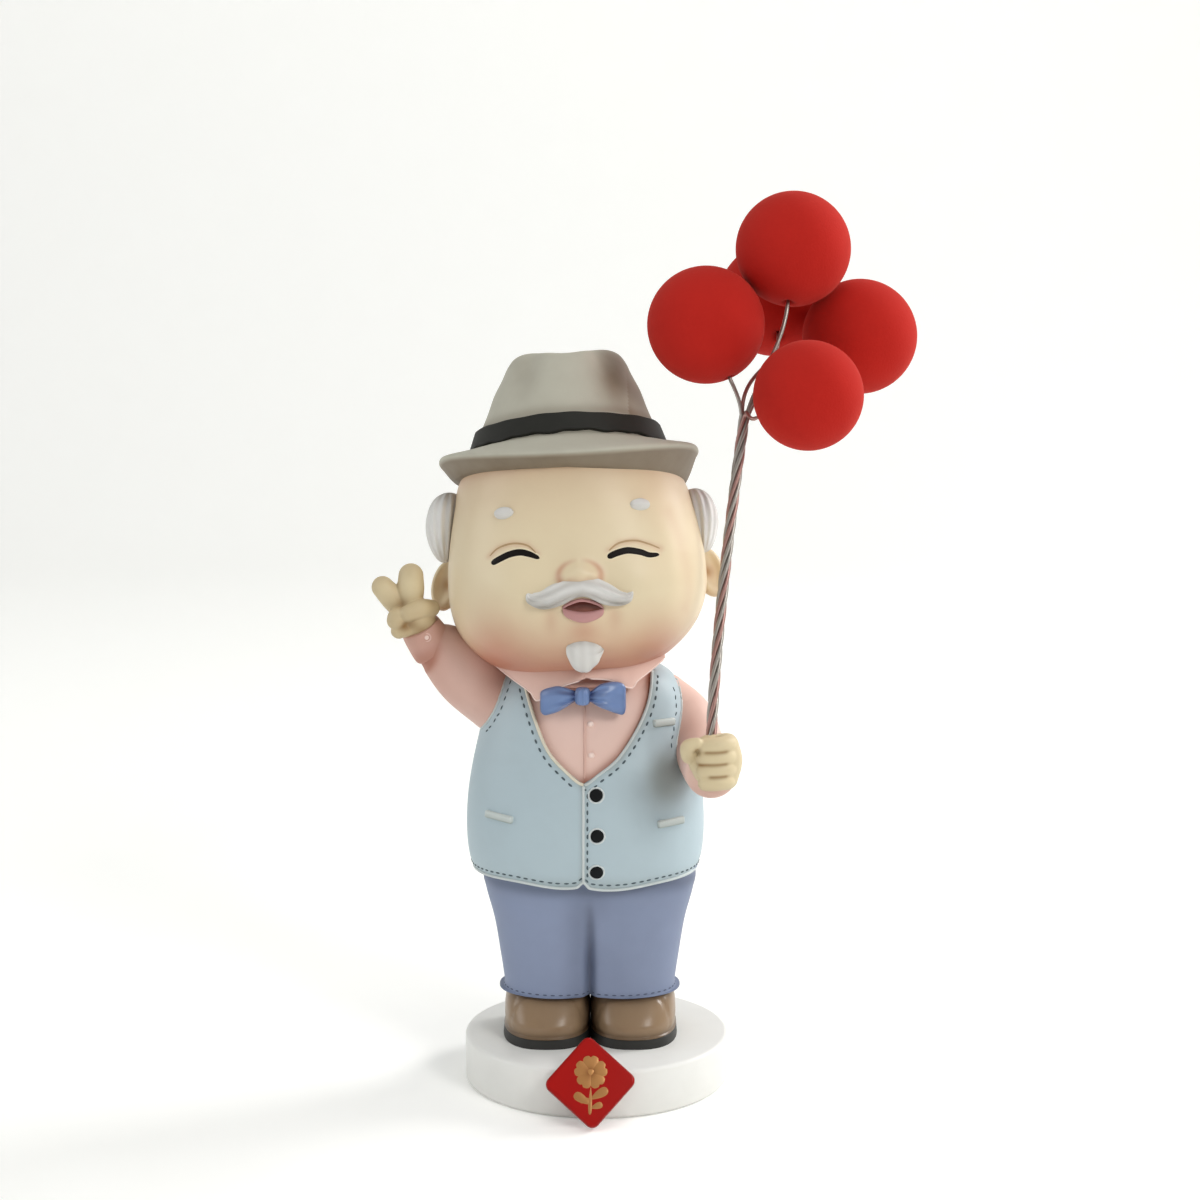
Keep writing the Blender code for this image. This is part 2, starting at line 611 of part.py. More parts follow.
bmesh.ops.translate(bm, vec=(-1.1, slide, rise), verts=bm.verts)
tile = add("plaque", bm)
tile.data.materials.append(material("red_enamel", (0.63, 0.11, 0.09), 0.3))
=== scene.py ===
"""Looks of the elderly gentleman figurine: sculpted, hand-painted resin, foam balloons and twisted wires.

Lengths are in millimetres, and every form is scaled to metres where its mesh is made. The figure looks
along -Y, and the origin is the centre of the plinth's underside.
"""

import math

import bmesh
import bpy
from mathutils import Matrix, Vector


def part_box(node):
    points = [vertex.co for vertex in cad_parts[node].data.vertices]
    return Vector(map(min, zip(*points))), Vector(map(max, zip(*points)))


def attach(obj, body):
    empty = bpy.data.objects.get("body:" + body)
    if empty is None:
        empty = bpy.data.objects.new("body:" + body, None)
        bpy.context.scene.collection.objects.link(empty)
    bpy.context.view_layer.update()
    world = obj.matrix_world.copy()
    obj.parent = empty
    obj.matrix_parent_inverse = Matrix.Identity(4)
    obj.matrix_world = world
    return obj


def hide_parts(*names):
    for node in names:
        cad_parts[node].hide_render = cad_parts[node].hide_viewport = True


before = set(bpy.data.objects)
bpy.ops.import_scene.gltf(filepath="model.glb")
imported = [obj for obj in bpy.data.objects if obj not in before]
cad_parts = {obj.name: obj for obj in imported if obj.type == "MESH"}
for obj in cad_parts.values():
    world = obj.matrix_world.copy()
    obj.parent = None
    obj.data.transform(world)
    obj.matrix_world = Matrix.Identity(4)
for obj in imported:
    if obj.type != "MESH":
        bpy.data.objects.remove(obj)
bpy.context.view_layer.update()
scene = bpy.context.scene
MM = 0.001

# Plinth: a cast resin disc, sprayed white and rubbed smooth, with eased rims. The figure above is cast in
# one with it, so every painted area of the casting replaces the same node.
PLINTH_RADIUS = 25.0
PLINTH_HEIGHT = 9.0
RIM_EASE = 0.8


def rgb(text):
    """Linear colour from an sRGB hex string."""
    shares = [int(text[i : i + 2], 16) / 255 for i in (1, 3, 5)]
    return tuple(c / 12.92 if c <= 0.04045 else ((c + 0.055) / 1.055) ** 2.4 for c in shares) + (1.0,)


def add_node(tree, kind, links=(), **values):
    """Adds a node, sets its properties or input values and links (input name, output socket) pairs."""
    made = tree.nodes.new(kind)
    for key, value in values.items():
        if hasattr(made, key):
            setattr(made, key, value)
        else:
            made.inputs[key.replace("_", " ")].default_value = value
    for name, socket in links:
        tree.links.new(socket, made.inputs[name])
    return made


def paint(name, colour, shade, roughness=0.5, mottle=0.06, grain=0.12, gleam=0.4):
    """Sprayed resin paint: a base colour, a shade colour mixed in where the mesh says so, which stands for
    airbrushed tones and for painted shade and highlights, and a fine grain.
    """
    made = bpy.data.materials.new(name)
    made.use_nodes = True
    tree = made.node_tree
    shader = tree.nodes["Principled BSDF"]
    shader.inputs["Roughness"].default_value = roughness
    shader.inputs["IOR"].default_value = 1.48
    shader.inputs["Specular IOR Level"].default_value = gleam
    place = add_node(tree, "ShaderNodeTexCoord").outputs["Object"]
    shade_attribute = add_node(tree, "ShaderNodeAttribute", attribute_name="tone_and_painted_shade").outputs["Fac"]
    cloud = add_node(tree, "ShaderNodeTexNoise", [("Vector", place)], Scale=260.0, Detail=3.0)
    uneven = add_node(tree, "ShaderNodeMath", [(0, cloud.outputs["Fac"])], operation="MULTIPLY_ADD")
    uneven.inputs[1].default_value = mottle * 2
    uneven.inputs[2].default_value = -mottle
    shade_links = [(0, shade_attribute), (1, uneven.outputs[0])]
    amount = add_node(tree, "ShaderNodeMath", shade_links, operation="ADD", use_clamp=True)
    colours = add_node(tree, "ShaderNodeMix", [("Factor", amount.outputs[0])], data_type="RGBA")
    colours.inputs[6].default_value = rgb(colour)
    colours.inputs[7].default_value = rgb(shade)
    tree.links.new(colours.outputs[2], shader.inputs["Base Color"])
    fine = add_node(tree, "ShaderNodeTexNoise", [("Vector", place)], Scale=2600.0, Detail=2.0)
    height = [("Height", fine.outputs["Fac"])]
    relief = add_node(tree, "ShaderNodeBump", height, Strength=grain, Distance=0.0001)
    tree.links.new(relief.outputs["Normal"], shader.inputs["Normal"])
    return made


def piece(name, bm, finish, node="figure", crease=None):
    """A finished piece from a form drawn in millimetres: welded, smooth, in metres, parented to the root
    body, and with its node's part hidden.
    """
    bmesh.ops.remove_doubles(bm, verts=bm.verts, dist=0.002)
    bmesh.ops.recalc_face_normals(bm, faces=bm.faces)
    bmesh.ops.scale(bm, vec=(MM, MM, MM), verts=bm.verts)
    mesh = bpy.data.meshes.new(name)
    bm.to_mesh(mesh)
    bm.free()
    mesh.shade_smooth()
    if crease:
        mesh.set_sharp_from_angle(angle=math.radians(crease))
    made = bpy.data.objects.new(name, mesh)
    scene.collection.objects.link(made)
    mesh.materials.append(finish)
    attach(made, "root")
    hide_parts(node)
    return made


def clamped(value):
    """The value, held between 0 and 1."""
    return min(max(value, 0.0), 1.0)


def tone_and_painted_shade(made, rule):
    """Mixes in the shade colour, which stands for airbrushed tones, wear and painted shade and highlights:
    the rule gives its strength at each point, in millimetres.
    """
    layer = made.data.attributes.new("tone_and_painted_shade", "FLOAT", "POINT")
    for vert in made.data.vertices:
        layer.data[vert.index].value = clamped(rule(vert.co / MM))


def near(distance, reach):
    """A soft falloff: 1 at no distance, about a third at the reach."""
    return math.exp(-((distance / reach) ** 2))


bm = bmesh.new()
stand = Matrix.Translation((0, 0, PLINTH_HEIGHT / 2))
bmesh.ops.create_cone(
    bm,
    cap_ends=True,
    segments=160,
    radius1=PLINTH_RADIUS,
    radius2=PLINTH_RADIUS,
    depth=PLINTH_HEIGHT,
    matrix=stand,
)
rims = [edge for edge in bm.edges if abs(edge.verts[0].co.z - edge.verts[1].co.z) < 0.1]
bmesh.ops.bevel(bm, geom=rims, offset=RIM_EASE, segments=5, affect="EDGES", profile=0.5, material=-1)
white_paint = paint("white sprayed resin paint", "#F0F0EC", "#CBC9C2", 0.42, mottle=0.10)
plinth = piece("plinth", bm, white_paint, crease=40)
# Painted shade darkens the plinth's foot, where it meets the floor.
tone_and_painted_shade(plinth, lambda p: 0.25 * near(p.z, 1.0))


# Shoes: brown glossy uppers with a bulbous toe on flat black soles, sculpted as part of the casting.
# Painted shade darkens the creases under the hem, between the shoes and above the soles, and the backs.
FEET_X = -1.2
SHOE_WIDTH = 16.2
SHOE_LENGTH = 22.0
SOLE_TOP = 11.0
SOLE_SQUARENESS = 2.6
SHOE_SQUARENESS = 2.45
TOE_CAP = 0.60
HEM = 18.1


def smooth(table, t):
    """The values at t on a smooth curve through a table whose rows are (t, value, value, ...)."""
    t = min(max(t, table[0][0]), table[-1][0])
    i = 0
    while i < len(table) - 2 and table[i + 1][0] < t:
        i += 1
    low, high = table[i], table[i + 1]
    span = high[0] - low[0]
    s = (t - low[0]) / span
    before = table[i - 1] if i else low
    after = table[i + 2] if i + 2 < len(table) else high
    values = []
    for k in range(1, len(low)):
        rise_low = (high[k] - before[k]) / (high[0] - before[0]) * span
        rise_high = (after[k] - low[k]) / (after[0] - low[0]) * span
        values.append(
            (2 * s**3 - 3 * s**2 + 1) * low[k]
            + (s**3 - 2 * s**2 + s) * rise_low
            + (3 * s**2 - 2 * s**3) * high[k]
            + (s**3 - s**2) * rise_high
        )
    return values


def straight(table, t):
    """The values at t on straight lines through a table whose rows are (t, value, value, ...)."""
    for low, high in zip(table, table[1:]):
        if t <= high[0]:
            s = (t - low[0]) / (high[0] - low[0])
            return [a + (b - a) * s for a, b in zip(low[1:], high[1:])]
    return list(table[-1][1:])


def wrapped(rule, around, along):
    """A grid bent into a closed form: the rule places each point from its shares around and along."""
    bm = bmesh.new()
    bmesh.ops.create_grid(bm, x_segments=around, y_segments=along, size=0.5)
    for vert in bm.verts:
        vert.co = rule(vert.co.x + 0.5, vert.co.y + 0.5)
    return bm


def oval(turn, half_width, front, back, power):
    """A point on a rounded oval with its own depth to the front (-Y) and to the back."""
    across, ahead = math.sin(2 * math.pi * turn), math.cos(2 * math.pi * turn)
    depth = front if ahead > 0 else back
    if min(half_width, depth) <= 0.0:
        return 0.0, 0.0
    radius = ((abs(across) / half_width) ** power + (abs(ahead) / depth) ** power) ** (-1 / power)
    return radius * across, -radius * ahead


sole_rubber = paint("black sole paint", "#353533", "#1A1A19", 0.45, gleam=0.25)
brown_polish = paint("brown shoe paint", "#937A5F", "#43301F", 0.3, mottle=0.14, grain=0.06)
toe = 0.57 * SHOE_LENGTH
heel = 0.43 * SHOE_LENGTH
SOLE = [
    # share, width and length, height
    (0.0, 0.0, 8.6),
    (0.1, 1.0, 8.6),
    (0.15, 1.02, 9.0),
    (0.6, 1.0, 10.7),
    (0.7, 0.97, 10.95),
    (0.8, 0.93, 11.0),
    (1.0, 0.0, 11.1),
]
UPPER = [
    # share, height, width, toe, heel
    (0.0, 10.6, 0.0, 0.0, 0.0),
    (0.08, 10.7, 0.935, 0.95, 0.945),
    (0.14, 11.2, 0.965, 0.975, 0.96),
    (0.30, 12.8, 0.985, 0.99, 0.965),
    (0.44, 14.0, 0.985, 0.945, 0.95),
    (0.58, 15.4, 0.975, 0.865, 0.915),
    (0.74, 17.2, 0.93, 0.74, 0.86),
    (0.86, 18.4, 0.86, 0.60, 0.78),
    (0.93, 19.2, 0.5, 0.4, 0.5),
    (1.0, 19.2, 0.0, 0.0, 0.0),
]
for side in (-1, 1):
    centre = FEET_X + side * SHOE_WIDTH / 2
    half = SHOE_WIDTH / 2 + 0.15

    def sole_rule(turn, share):
        scale, z = straight(SOLE, share)
        x, y = oval(turn, half * scale, toe * scale, heel * scale, SOLE_SQUARENESS)
        return Vector((centre + x, y, z))

    def upper_rule(turn, share):
        z, width, front, back = smooth(UPPER, share)
        x, y = oval(turn, half * width, toe * front, heel * back, SHOE_SQUARENESS)
        cap = 0.22 * near(y + TOE_CAP * toe + 0.010 * x * x, 0.35) * (share > 0.2)
        return Vector((centre + x * (1 - cap / 8), y, z - cap * (z > 14)))

    made = piece(f"sole_{side}", wrapped(sole_rule, 96, 40), sole_rubber, crease=50)
    # Painted shade between the shoes on the soles, and on the uppers under the hem, above the soles and
    # toward the backs.
    tone_and_painted_shade(made, lambda p: near(abs(p.x - FEET_X), 1.5))
    made = piece(f"shoe_{side}", wrapped(upper_rule, 120, 60), brown_polish)
    tone_and_painted_shade(
        made,
        lambda p: 0.9 * near(abs(p.x - FEET_X), 1.5)
        + 0.75 * near(p.z - HEM - 0.5, 1.6)
        + 0.5 * near(p.z - SOLE_TOP, 0.7)
        + 0.25 * max(0, p.y / heel),
    )

# Trousers: one smooth body that parts into two straight legs, with painted shade down the seam, under the
# waistcoat, over the right leg and along the hem and sides, and a hem whose stitches are pressed in.
WAIST = 40.4
SEAM_X = -1.3
LEGS_PART = 37.5
LEG_SQUARENESS = 2.5
TROUSERS = [
    # share, height, half width, front, back
    (0.00, 18.0, 0.0, 0.0, 0.0),
    (0.05, 18.0, 16.0, 10.1, 9.0),
    (0.09, 18.15, 16.25, 10.35, 9.2),
    (0.18, 19.4, 16.2, 10.35, 9.2),
    (0.32, 24.4, 16.9, 11.2, 9.9),
    (0.52, 31.3, 18.0, 12.5, 11.1),
    (0.72, 37.5, 19.6, 13.3, 11.8),
    (0.84, 40.5, 20.0, 13.5, 12.0),
    (0.92, 43.0, 18.5, 12.8, 11.2),
    (1.00, 44.0, 0.0, 0.0, 0.0),
]


def trouser_rule(turn, share):
    z, half, front, back = smooth(TROUSERS, share) if 0.05 < share < 0.92 else straight(TROUSERS, share)
    x, y = oval(turn, half, front, back, LEG_SQUARENESS)
    parted = clamped((LEGS_PART - z) / 13) ** 1.2
    y *= 1 - parted * (0.17 * near(x, 0.9) + 0.15 * near(x, 4.6))
    fold = 0.16 * math.sin(z * 1.1 + x * 0.3) * near(z - 36, 3.5) * near(abs(x) - 12, 7)
    return Vector((SEAM_X + x, y * (1 + fold / 12), z))


blue_paint = paint("blue-grey matt paint", "#8C98B4", "#565D70", 0.55)
trousers = piece("trousers", wrapped(trouser_rule, 240, 110), blue_paint)


# Painted shade: the seam and the crotch, the waist under the waistcoat, the right leg, the hem and the
# sides.
def trouser_shade(p):
    lower = clamped((LEGS_PART + 1 - p.z) / 6)
    shade = (0.45 * near(p.x - SEAM_X, 0.8) + 0.36 * near(p.x - SEAM_X + 1.8, 2.8)) * lower
    shade += 0.45 * near(p.z - WAIST + 0.4, 1.6) + 0.30 * near(p.x - SEAM_X, 4.5) * near(p.z - 37, 3.5)
    shade += 0.16 * clamped((p.x - SEAM_X - 1.0) / 5.0)
    return shade + 0.12 * near(p.z - HEM, 1.0) + 0.12 * near(abs(p.x - SEAM_X) - 18, 3)


tone_and_painted_shade(trousers, trouser_shade)


def placed_at(middle, *axes):
    """Where a small form goes: its middle and the directions of its own three axes."""
    return Matrix.Translation(middle) @ Matrix(axes).transposed().to_4x4()


def stitches(name, points, finish, length=0.95, width=0.34):
    """Short threads pressed into a surface, each laid from one point to the next of a spaced path."""
    bm = bmesh.new()
    for start, end, normal in points:
        ahead = (end - start).normalized()
        side = normal.cross(ahead).normalized()
        size = Matrix.Diagonal((length / 2, width / 2, width * 0.3, 1.0))
        place = placed_at((start + end) / 2, ahead, side, ahead.cross(side)) @ size
        bmesh.ops.create_uvsphere(bm, u_segments=8, v_segments=6, radius=1.0, matrix=place)
    return piece(name, bm, finish)


def spaced(path, pitch):
    """Start, end and outward normal of each stitch along a path of (point, normal) pairs."""
    found = []
    carried = 0.0
    for (here, normal), (there, _) in zip(path, path[1:]):
        carried += (there - here).length
        if carried >= pitch:
            found.append((here, there, normal))
            carried -= pitch
    return found


HEM_STEPS = 600
HEM_ROW = 0.125
path = []
for i in range(HEM_STEPS):
    turn = -0.25 + 0.5 * i / HEM_STEPS
    point = trouser_rule(turn % 1.0, HEM_ROW)
    ahead = trouser_rule((turn + 0.002) % 1.0, HEM_ROW) - point
    path.append((point, Vector((ahead.y, -ahead.x, 0)).normalized()))
dark_stitch = paint("dark stitch paint", "#5A6378", "#3A4152", 0.6)
tone_and_painted_shade(stitches("hem_stitches", spaced(path, 1.5), dark_stitch, length=0.9, width=0.26), lambda p: 0.3)


# Waistcoat: a smooth rounded shell 0.8 mm proud of the shirt, closed left over right, with a V opening,
# raised piping and pressed stitches along its edges. The edges are a little darker, partly airbrush and
# partly painted shade, and the raised fist's shadow is painted on the front.
TORSO_X = -2.1
TORSO_LENGTH = 41.1
CHEST_HALF = 22.3
BELLY_FRONT = 17.8
BACK_DEPTH = 15.4
TORSO_SQUARENESS = 2.35
CLOSING_X = -2.4
TORSO = [
    # share of height, width, front, back
    (-0.058, 0.86, 0.84, 0.84),
    (0.015, 0.93, 0.90, 0.90),
    (0.088, 0.98, 0.965, 0.965),
    (0.209, 1.0, 1.0, 1.0),
    (0.355, 0.99, 0.985, 1.0),
    (0.501, 0.95, 0.93, 0.97),
    (0.647, 0.89, 0.86, 0.92),
    (0.793, 0.83, 0.775, 0.85),
    (0.87, 0.78, 0.715, 0.78),
    (0.93, 0.69, 0.64, 0.68),
    (0.97, 0.53, 0.50, 0.54),
    (1.0, 0.28, 0.28, 0.28),
]
VEST_HEM = [
    (-22.0, 41.6), (-15.0, 41.6), (-7.4, 40.7), (-3.6, 40.9), (CLOSING_X, 41.9),
    (-1.2, 40.7), (4.2, 40.3), (11.9, 41.2), (22.0, 41.6),
]
NECKLINE = [
    (-14.2, 82.5), (-13.4, 78.5), (-11.1, 71.3), (-8.8, 66.2), (-5.8, 62.9), (CLOSING_X, 60.4),
    (0.4, 62.1), (4.2, 65.2), (8.0, 70.9), (9.9, 76.0), (10.4, 82.5),
]
VEST_TOP = 80.2


def torso_point(turn, z, inset=0.0):
    """A point round the torso at a height, on its surface or a little under it."""
    width, front, back = smooth(TORSO, (z - WAIST) / TORSO_LENGTH)
    front, back = BELLY_FRONT * front - inset, BACK_DEPTH * back - inset
    x, y = oval(turn, CHEST_HALF * width - inset, front, back, TORSO_SQUARENESS)
    return Vector((TORSO_X + x, y, z))


def torso_front(x, z, inset=0.0):
    """The front surface of the torso at a place seen from the front."""
    width, front, _ = smooth(TORSO, (z - WAIST) / TORSO_LENGTH)
    reach = min(abs(x - TORSO_X) / (CHEST_HALF * width - inset), 0.999)
    fall = (1 - reach**TORSO_SQUARENESS) ** (1 / TORSO_SQUARENESS)
    return Vector((x, -(BELLY_FRONT * front - inset) * fall, z))


def drawn_in(point, keep, z):
    """The point drawn in toward the torso's upright axis, at a height."""
    return Vector((TORSO_X + (point.x - TORSO_X) * keep, point.y * keep, z))


def hem_height(turn):
    """The height of the waistcoat's edge: two points in front, level behind."""
    point = torso_point(turn, WAIST)
    return smooth(VEST_HEM, point.x)[0] if point.y < 0 else VEST_HEM[0][1]


def vest_rule(turn, share):
    low = hem_height(turn)
    if share < 0.06:
        deep = 1 - share / 0.06
        return drawn_in(torso_point(turn, low), 1 - deep, low - 0.25 + 0.1 * deep)
    if share > 0.985:
        return drawn_in(torso_point(turn, VEST_TOP), (1 - share) / 0.015, VEST_TOP)
    rise = (share - 0.06) / 0.94
    return torso_point(turn, low + (VEST_TOP - low) * rise, inset=0.35 * near(rise, 0.010))


def settled(made):
    """Turns the form that its modifiers give a piece into its own mesh."""
    bpy.context.view_layer.update()
    shaped = bpy.data.meshes.new_from_object(made.evaluated_get(bpy.context.evaluated_depsgraph_get()))
    made.modifiers.clear()
    made.data = shaped


vest_paint = paint("grey-blue waistcoat paint", "#B4C6CE", "#76796F", 0.5, mottle=0.06)
vest = piece("waistcoat", wrapped(vest_rule, 240, 150), vest_paint)
bm = bmesh.new()
near_rim = [bm.verts.new((x, -24.0, z)) for x, z in NECKLINE]
opening = bmesh.ops.contextual_create(bm, geom=near_rim)["faces"]
pushed = bmesh.ops.extrude_face_region(bm, geom=opening)["geom"]
far_rim = [part for part in pushed if isinstance(part, bmesh.types.BMVert)]
bmesh.ops.translate(bm, vec=(0, 20.0, 0), verts=far_rim)
bmesh.ops.recalc_face_normals(bm, faces=bm.faces)
bmesh.ops.scale(bm, vec=(MM, MM, MM), verts=bm.verts)
cutter_mesh = bpy.data.meshes.new("v_cutter")
bm.to_mesh(cutter_mesh)
bm.free()
cutter = bpy.data.objects.new("v_cutter", cutter_mesh)
scene.collection.objects.link(cutter)
cut = vest.modifiers.new("v_opening", "BOOLEAN")
cut.operation = "DIFFERENCE"
cut.solver = "EXACT"
cut.object = cutter
settled(vest)
bpy.data.objects.remove(cutter)


def edge_distance(x, z, line):
    """Distance from a place to a line of points, all seen from the front."""
    best = 99.0
    for (x0, z0), (x1, z1) in zip(line, line[1:]):
        along = ((x - x0) * (x1 - x0) + (z - z0) * (z1 - z0)) / ((x1 - x0) ** 2 + (z1 - z0) ** 2)
        along = min(max(along, 0), 1)
        best = min(best, math.hypot(x - x0 - (x1 - x0) * along, z - z0 - (z1 - z0) * along))
    return best


# The hem, the V edges and the closing get a darker tone, partly airbrush and partly painted shade, deeper on
# the right of the V.
def vest_shade(p):
    shade = 0.25 * near(p.z - 41.0, 1.6)
    if p.y < 0:
        edge = edge_distance(p.x, p.z, NECKLINE)
        shade += 0.30 * near(edge, 0.9) + 0.22 * near(edge, 1.0) * (p.x > 2)
        shade += 0.25 * near(p.x - CLOSING_X, 0.7) * (p.z < 60.5)
        # Painted shadow of the raised fist on the waistcoat's front.
        fist = math.hypot((p.x - 13.0) / 3.6, (p.z - 61.0) / 4.7)
        shade += 0.62 * math.exp(-(fist**3))
    return shade


tone_and_painted_shade(vest, vest_shade)

piping_paint = paint("pale piping paint", "#D3DBDC", "#9AA39F", 0.45)
cream_piping = paint("cream piping paint", "#E9E2CF", "#B7AE98", 0.45)


def cord_along(name, points, radius, finish, sides=10):
    """A thin raised line of paint or piping through a list of points, with closed ends."""
    count = len(points) - 1

    def rule(turn, share):
        place = share * count
        i = min(int(place), count - 1)
        here = points[i].lerp(points[i + 1], place - i)
        ahead = (points[min(i + 1, count)] - points[max(i - 1, 0)]).normalized()
        side = ahead.cross(Vector((0, 0.31, 0.95))).normalized()
        up = side.cross(ahead)
        size = radius if 0 < share < 1 else 0.0
        angle = 2 * math.pi * turn
        return here + (side * math.cos(angle) + up * math.sin(angle)) * size

    return piece(name, wrapped(rule, sides, count), finish)


def front_line(table, count, inset, raised):
    """Points and outward normals along a line drawn on the front of the torso."""
    line = []
    for i in range(count + 1):
        x, z = smooth(table, i / count)
        here = torso_front(x, z, inset)
        right = torso_front(x + 0.1, z, inset) - here
        upward = torso_front(x, z + 0.1, inset) - here
        normal = right.cross(upward).normalized()
        line.append((here + normal * raised, normal))
    return line


steps = len(NECKLINE) - 1
neck_table = [(i / steps, x, z) for i, (x, z) in enumerate(NECKLINE)]
line = front_line(neck_table, 240, 0.0, -0.08)
line = [(point, normal) for point, normal in line if point.z < VEST_TOP - 0.4]
lowest = min(range(len(line)), key=lambda i: line[i][0].z)
tone_and_painted_shade(cord_along("v_piping_left", [p for p, _ in line[: lowest + 1]], 0.30, cream_piping), lambda p: 0.15)
tone_and_painted_shade(cord_along("v_piping_right", [p for p, _ in line[lowest:]], 0.28, piping_paint), lambda p: 0.35)
outer = []
for i, (point, normal) in enumerate(line[:-1]):
    ahead = (line[i + 1][0] - point).normalized()
    out = point + ahead.cross(normal) * 1.2
    outer.append((torso_front(out.x, out.z) + normal * 0.03, normal))
outer = [(p, n) for p, n in outer if abs(p.x + 2.2) > 1.1]
vest_stitch = paint("dark vest stitch paint", "#55646A", "#36424A", 0.6)
tone_and_painted_shade(stitches("v_stitches", spaced(outer, 1.7), vest_stitch, width=0.40), lambda p: 0.3)

closing = [(0.0, -2.35, 60.3), (0.5, -2.38, 51.0), (0.94, CLOSING_X, 42.6), (1.0, CLOSING_X, 41.9)]
line = front_line(closing, 60, 0.0, 0.0)
tone_and_painted_shade(cord_along("closing_piping", [point for point, _ in line], 0.27, piping_paint), lambda p: 0.15)
line = front_line([(0.0, -1.62, 59.9), (1.0, -1.65, 42.2)], 120, 0.0, 0.03)
tone_and_painted_shade(stitches("closing_stitches", spaced(line, 1.5), vest_stitch, width=0.36), lambda p: 0.2)

RIM_STEPS = 720
rim = []
hem_path = []
for i in range(RIM_STEPS + 1):
    turn = (0.5 + i / RIM_STEPS) % 1.0
    low = hem_height(turn)
    point = torso_point(turn, low)
    side = torso_point((turn + 0.001) % 1.0, low) - torso_point((turn - 0.001) % 1.0, low)
    normal = Vector((-side.y, side.x, 0)).normalized()
    if normal.dot(point - Vector((TORSO_X, 0, low))) < 0:
        normal = -normal
    rim.append(point + Vector((0, 0, 0.15)))
    above = torso_point(turn, low + 1.15)
    hem_path.append((above + normal * 0.03, normal))
tone_and_painted_shade(cord_along("hem_piping", rim, 0.30, piping_paint), lambda p: 0.15)
tone_and_painted_shade(stitches("vest_hem_stitches", spaced(hem_path, 1.5), vest_stitch, width=0.36), lambda p: 0.2)

# Waistcoat buttons: black discs with a ring of bare pale paint round each.
black_paint = paint("black button paint", "#101214", "#060707", 0.5, grain=0.05, gleam=0.15)
for i, (x, z) in enumerate(((-0.05, 58.5), (0.12, 51.1), (0.03, 44.2))):
    seat = torso_front(x, z)
    upward = (torso_front(x, z + 0.2) - seat).normalized()
    right = (torso_front(x + 0.2, z) - seat).normalized()
    place = placed_at(seat, right, upward, right.cross(upward))

    def button_rule(turn, share):
        table = [(0, 0, -0.3), (0.2, 1.13, -0.3), (0.45, 1.15, 0.25), (0.65, 0.95, 0.46), (1, 0, 0.50)]
        radius, height = smooth(table, share)
        wobble = 1 + 0.03 * math.sin(turn * 19 + i * 2)
        angle = 2 * math.pi * turn
        return place @ Vector((radius * wobble * math.cos(angle), radius * wobble * math.sin(angle), height))

    def ring_rule(turn, share):
        angle, round_it = 2 * math.pi * turn, 2 * math.pi * share
        radius = 1.36 + 0.20 * math.cos(round_it)
        height = 0.02 + 0.15 * math.sin(round_it)
        return place @ Vector((radius * math.cos(angle), radius * math.sin(angle), height))

    tone_and_painted_shade(piece(f"vest_button_{i}", wrapped(button_rule, 40, 16), black_paint), lambda p: 0.1)
    tone_and_painted_shade(piece(f"button_ring_{i}", wrapped(ring_rule, 40, 10), piping_paint), lambda p: 0.0)

# Pocket welts: three narrow pale bars, modelled proud of the waistcoat, with painted shade along the lower
# edge.
welt_paint = paint("pale welt paint", "#CBD4D2", "#87918C", 0.5)
for name, low_end, high_end in (
    ("pocket_left", (-20.2, 53.95), (-15.2, 53.5)),
    ("pocket_right", (11.1, 52.65), (15.9, 52.85)),
    ("pocket_chest", (10.3, 70.75), (14.2, 70.6)),
):
    start, end = torso_front(*low_end), torso_front(*high_end)
    ahead = (end - start).normalized()
    normal = ahead.cross(Vector((0, 0, 1))).normalized()
    upward = normal.cross(ahead).normalized()
    bm = bmesh.new()
    size = Matrix.Diagonal(((end - start).length, 1.4, 1.5, 1.0))
    place = placed_at((start + end) / 2, ahead, upward, normal) @ size
    bmesh.ops.create_cube(bm, size=1.0, matrix=place)
    bmesh.ops.bevel(bm, geom=bm.edges, offset=0.36, segments=4, affect="EDGES", profile=0.5, material=-1)
    tone_and_painted_shade(piece(name, bm, welt_paint), lambda p: 0.7 * near((p - end).dot(upward) + 0.62, 0.3))


# Shirt: the pink front that shows in the V, with a placket and two small buttons, and the two points of
# its collar, spread flat under the chin.
SHIRT_INSET = 0.8
SHIRT_FOOT = 44.0
SHIRT_HEIGHT = 36.8


def shirt_rule(turn, share):
    z = SHIRT_FOOT + SHIRT_HEIGHT * clamped((share - 0.02) / 0.96)
    return drawn_in(torso_point(turn, z, SHIRT_INSET), 0.0 if share in (0.0, 1.0) else 1.0, z)


pink_paint = paint("pink shirt paint", "#EBCABE", "#B07764", 0.5)
shirt = piece("shirt", wrapped(shirt_rule, 200, 100), pink_paint)
RIGHT_EDGE = NECKLINE[5:]
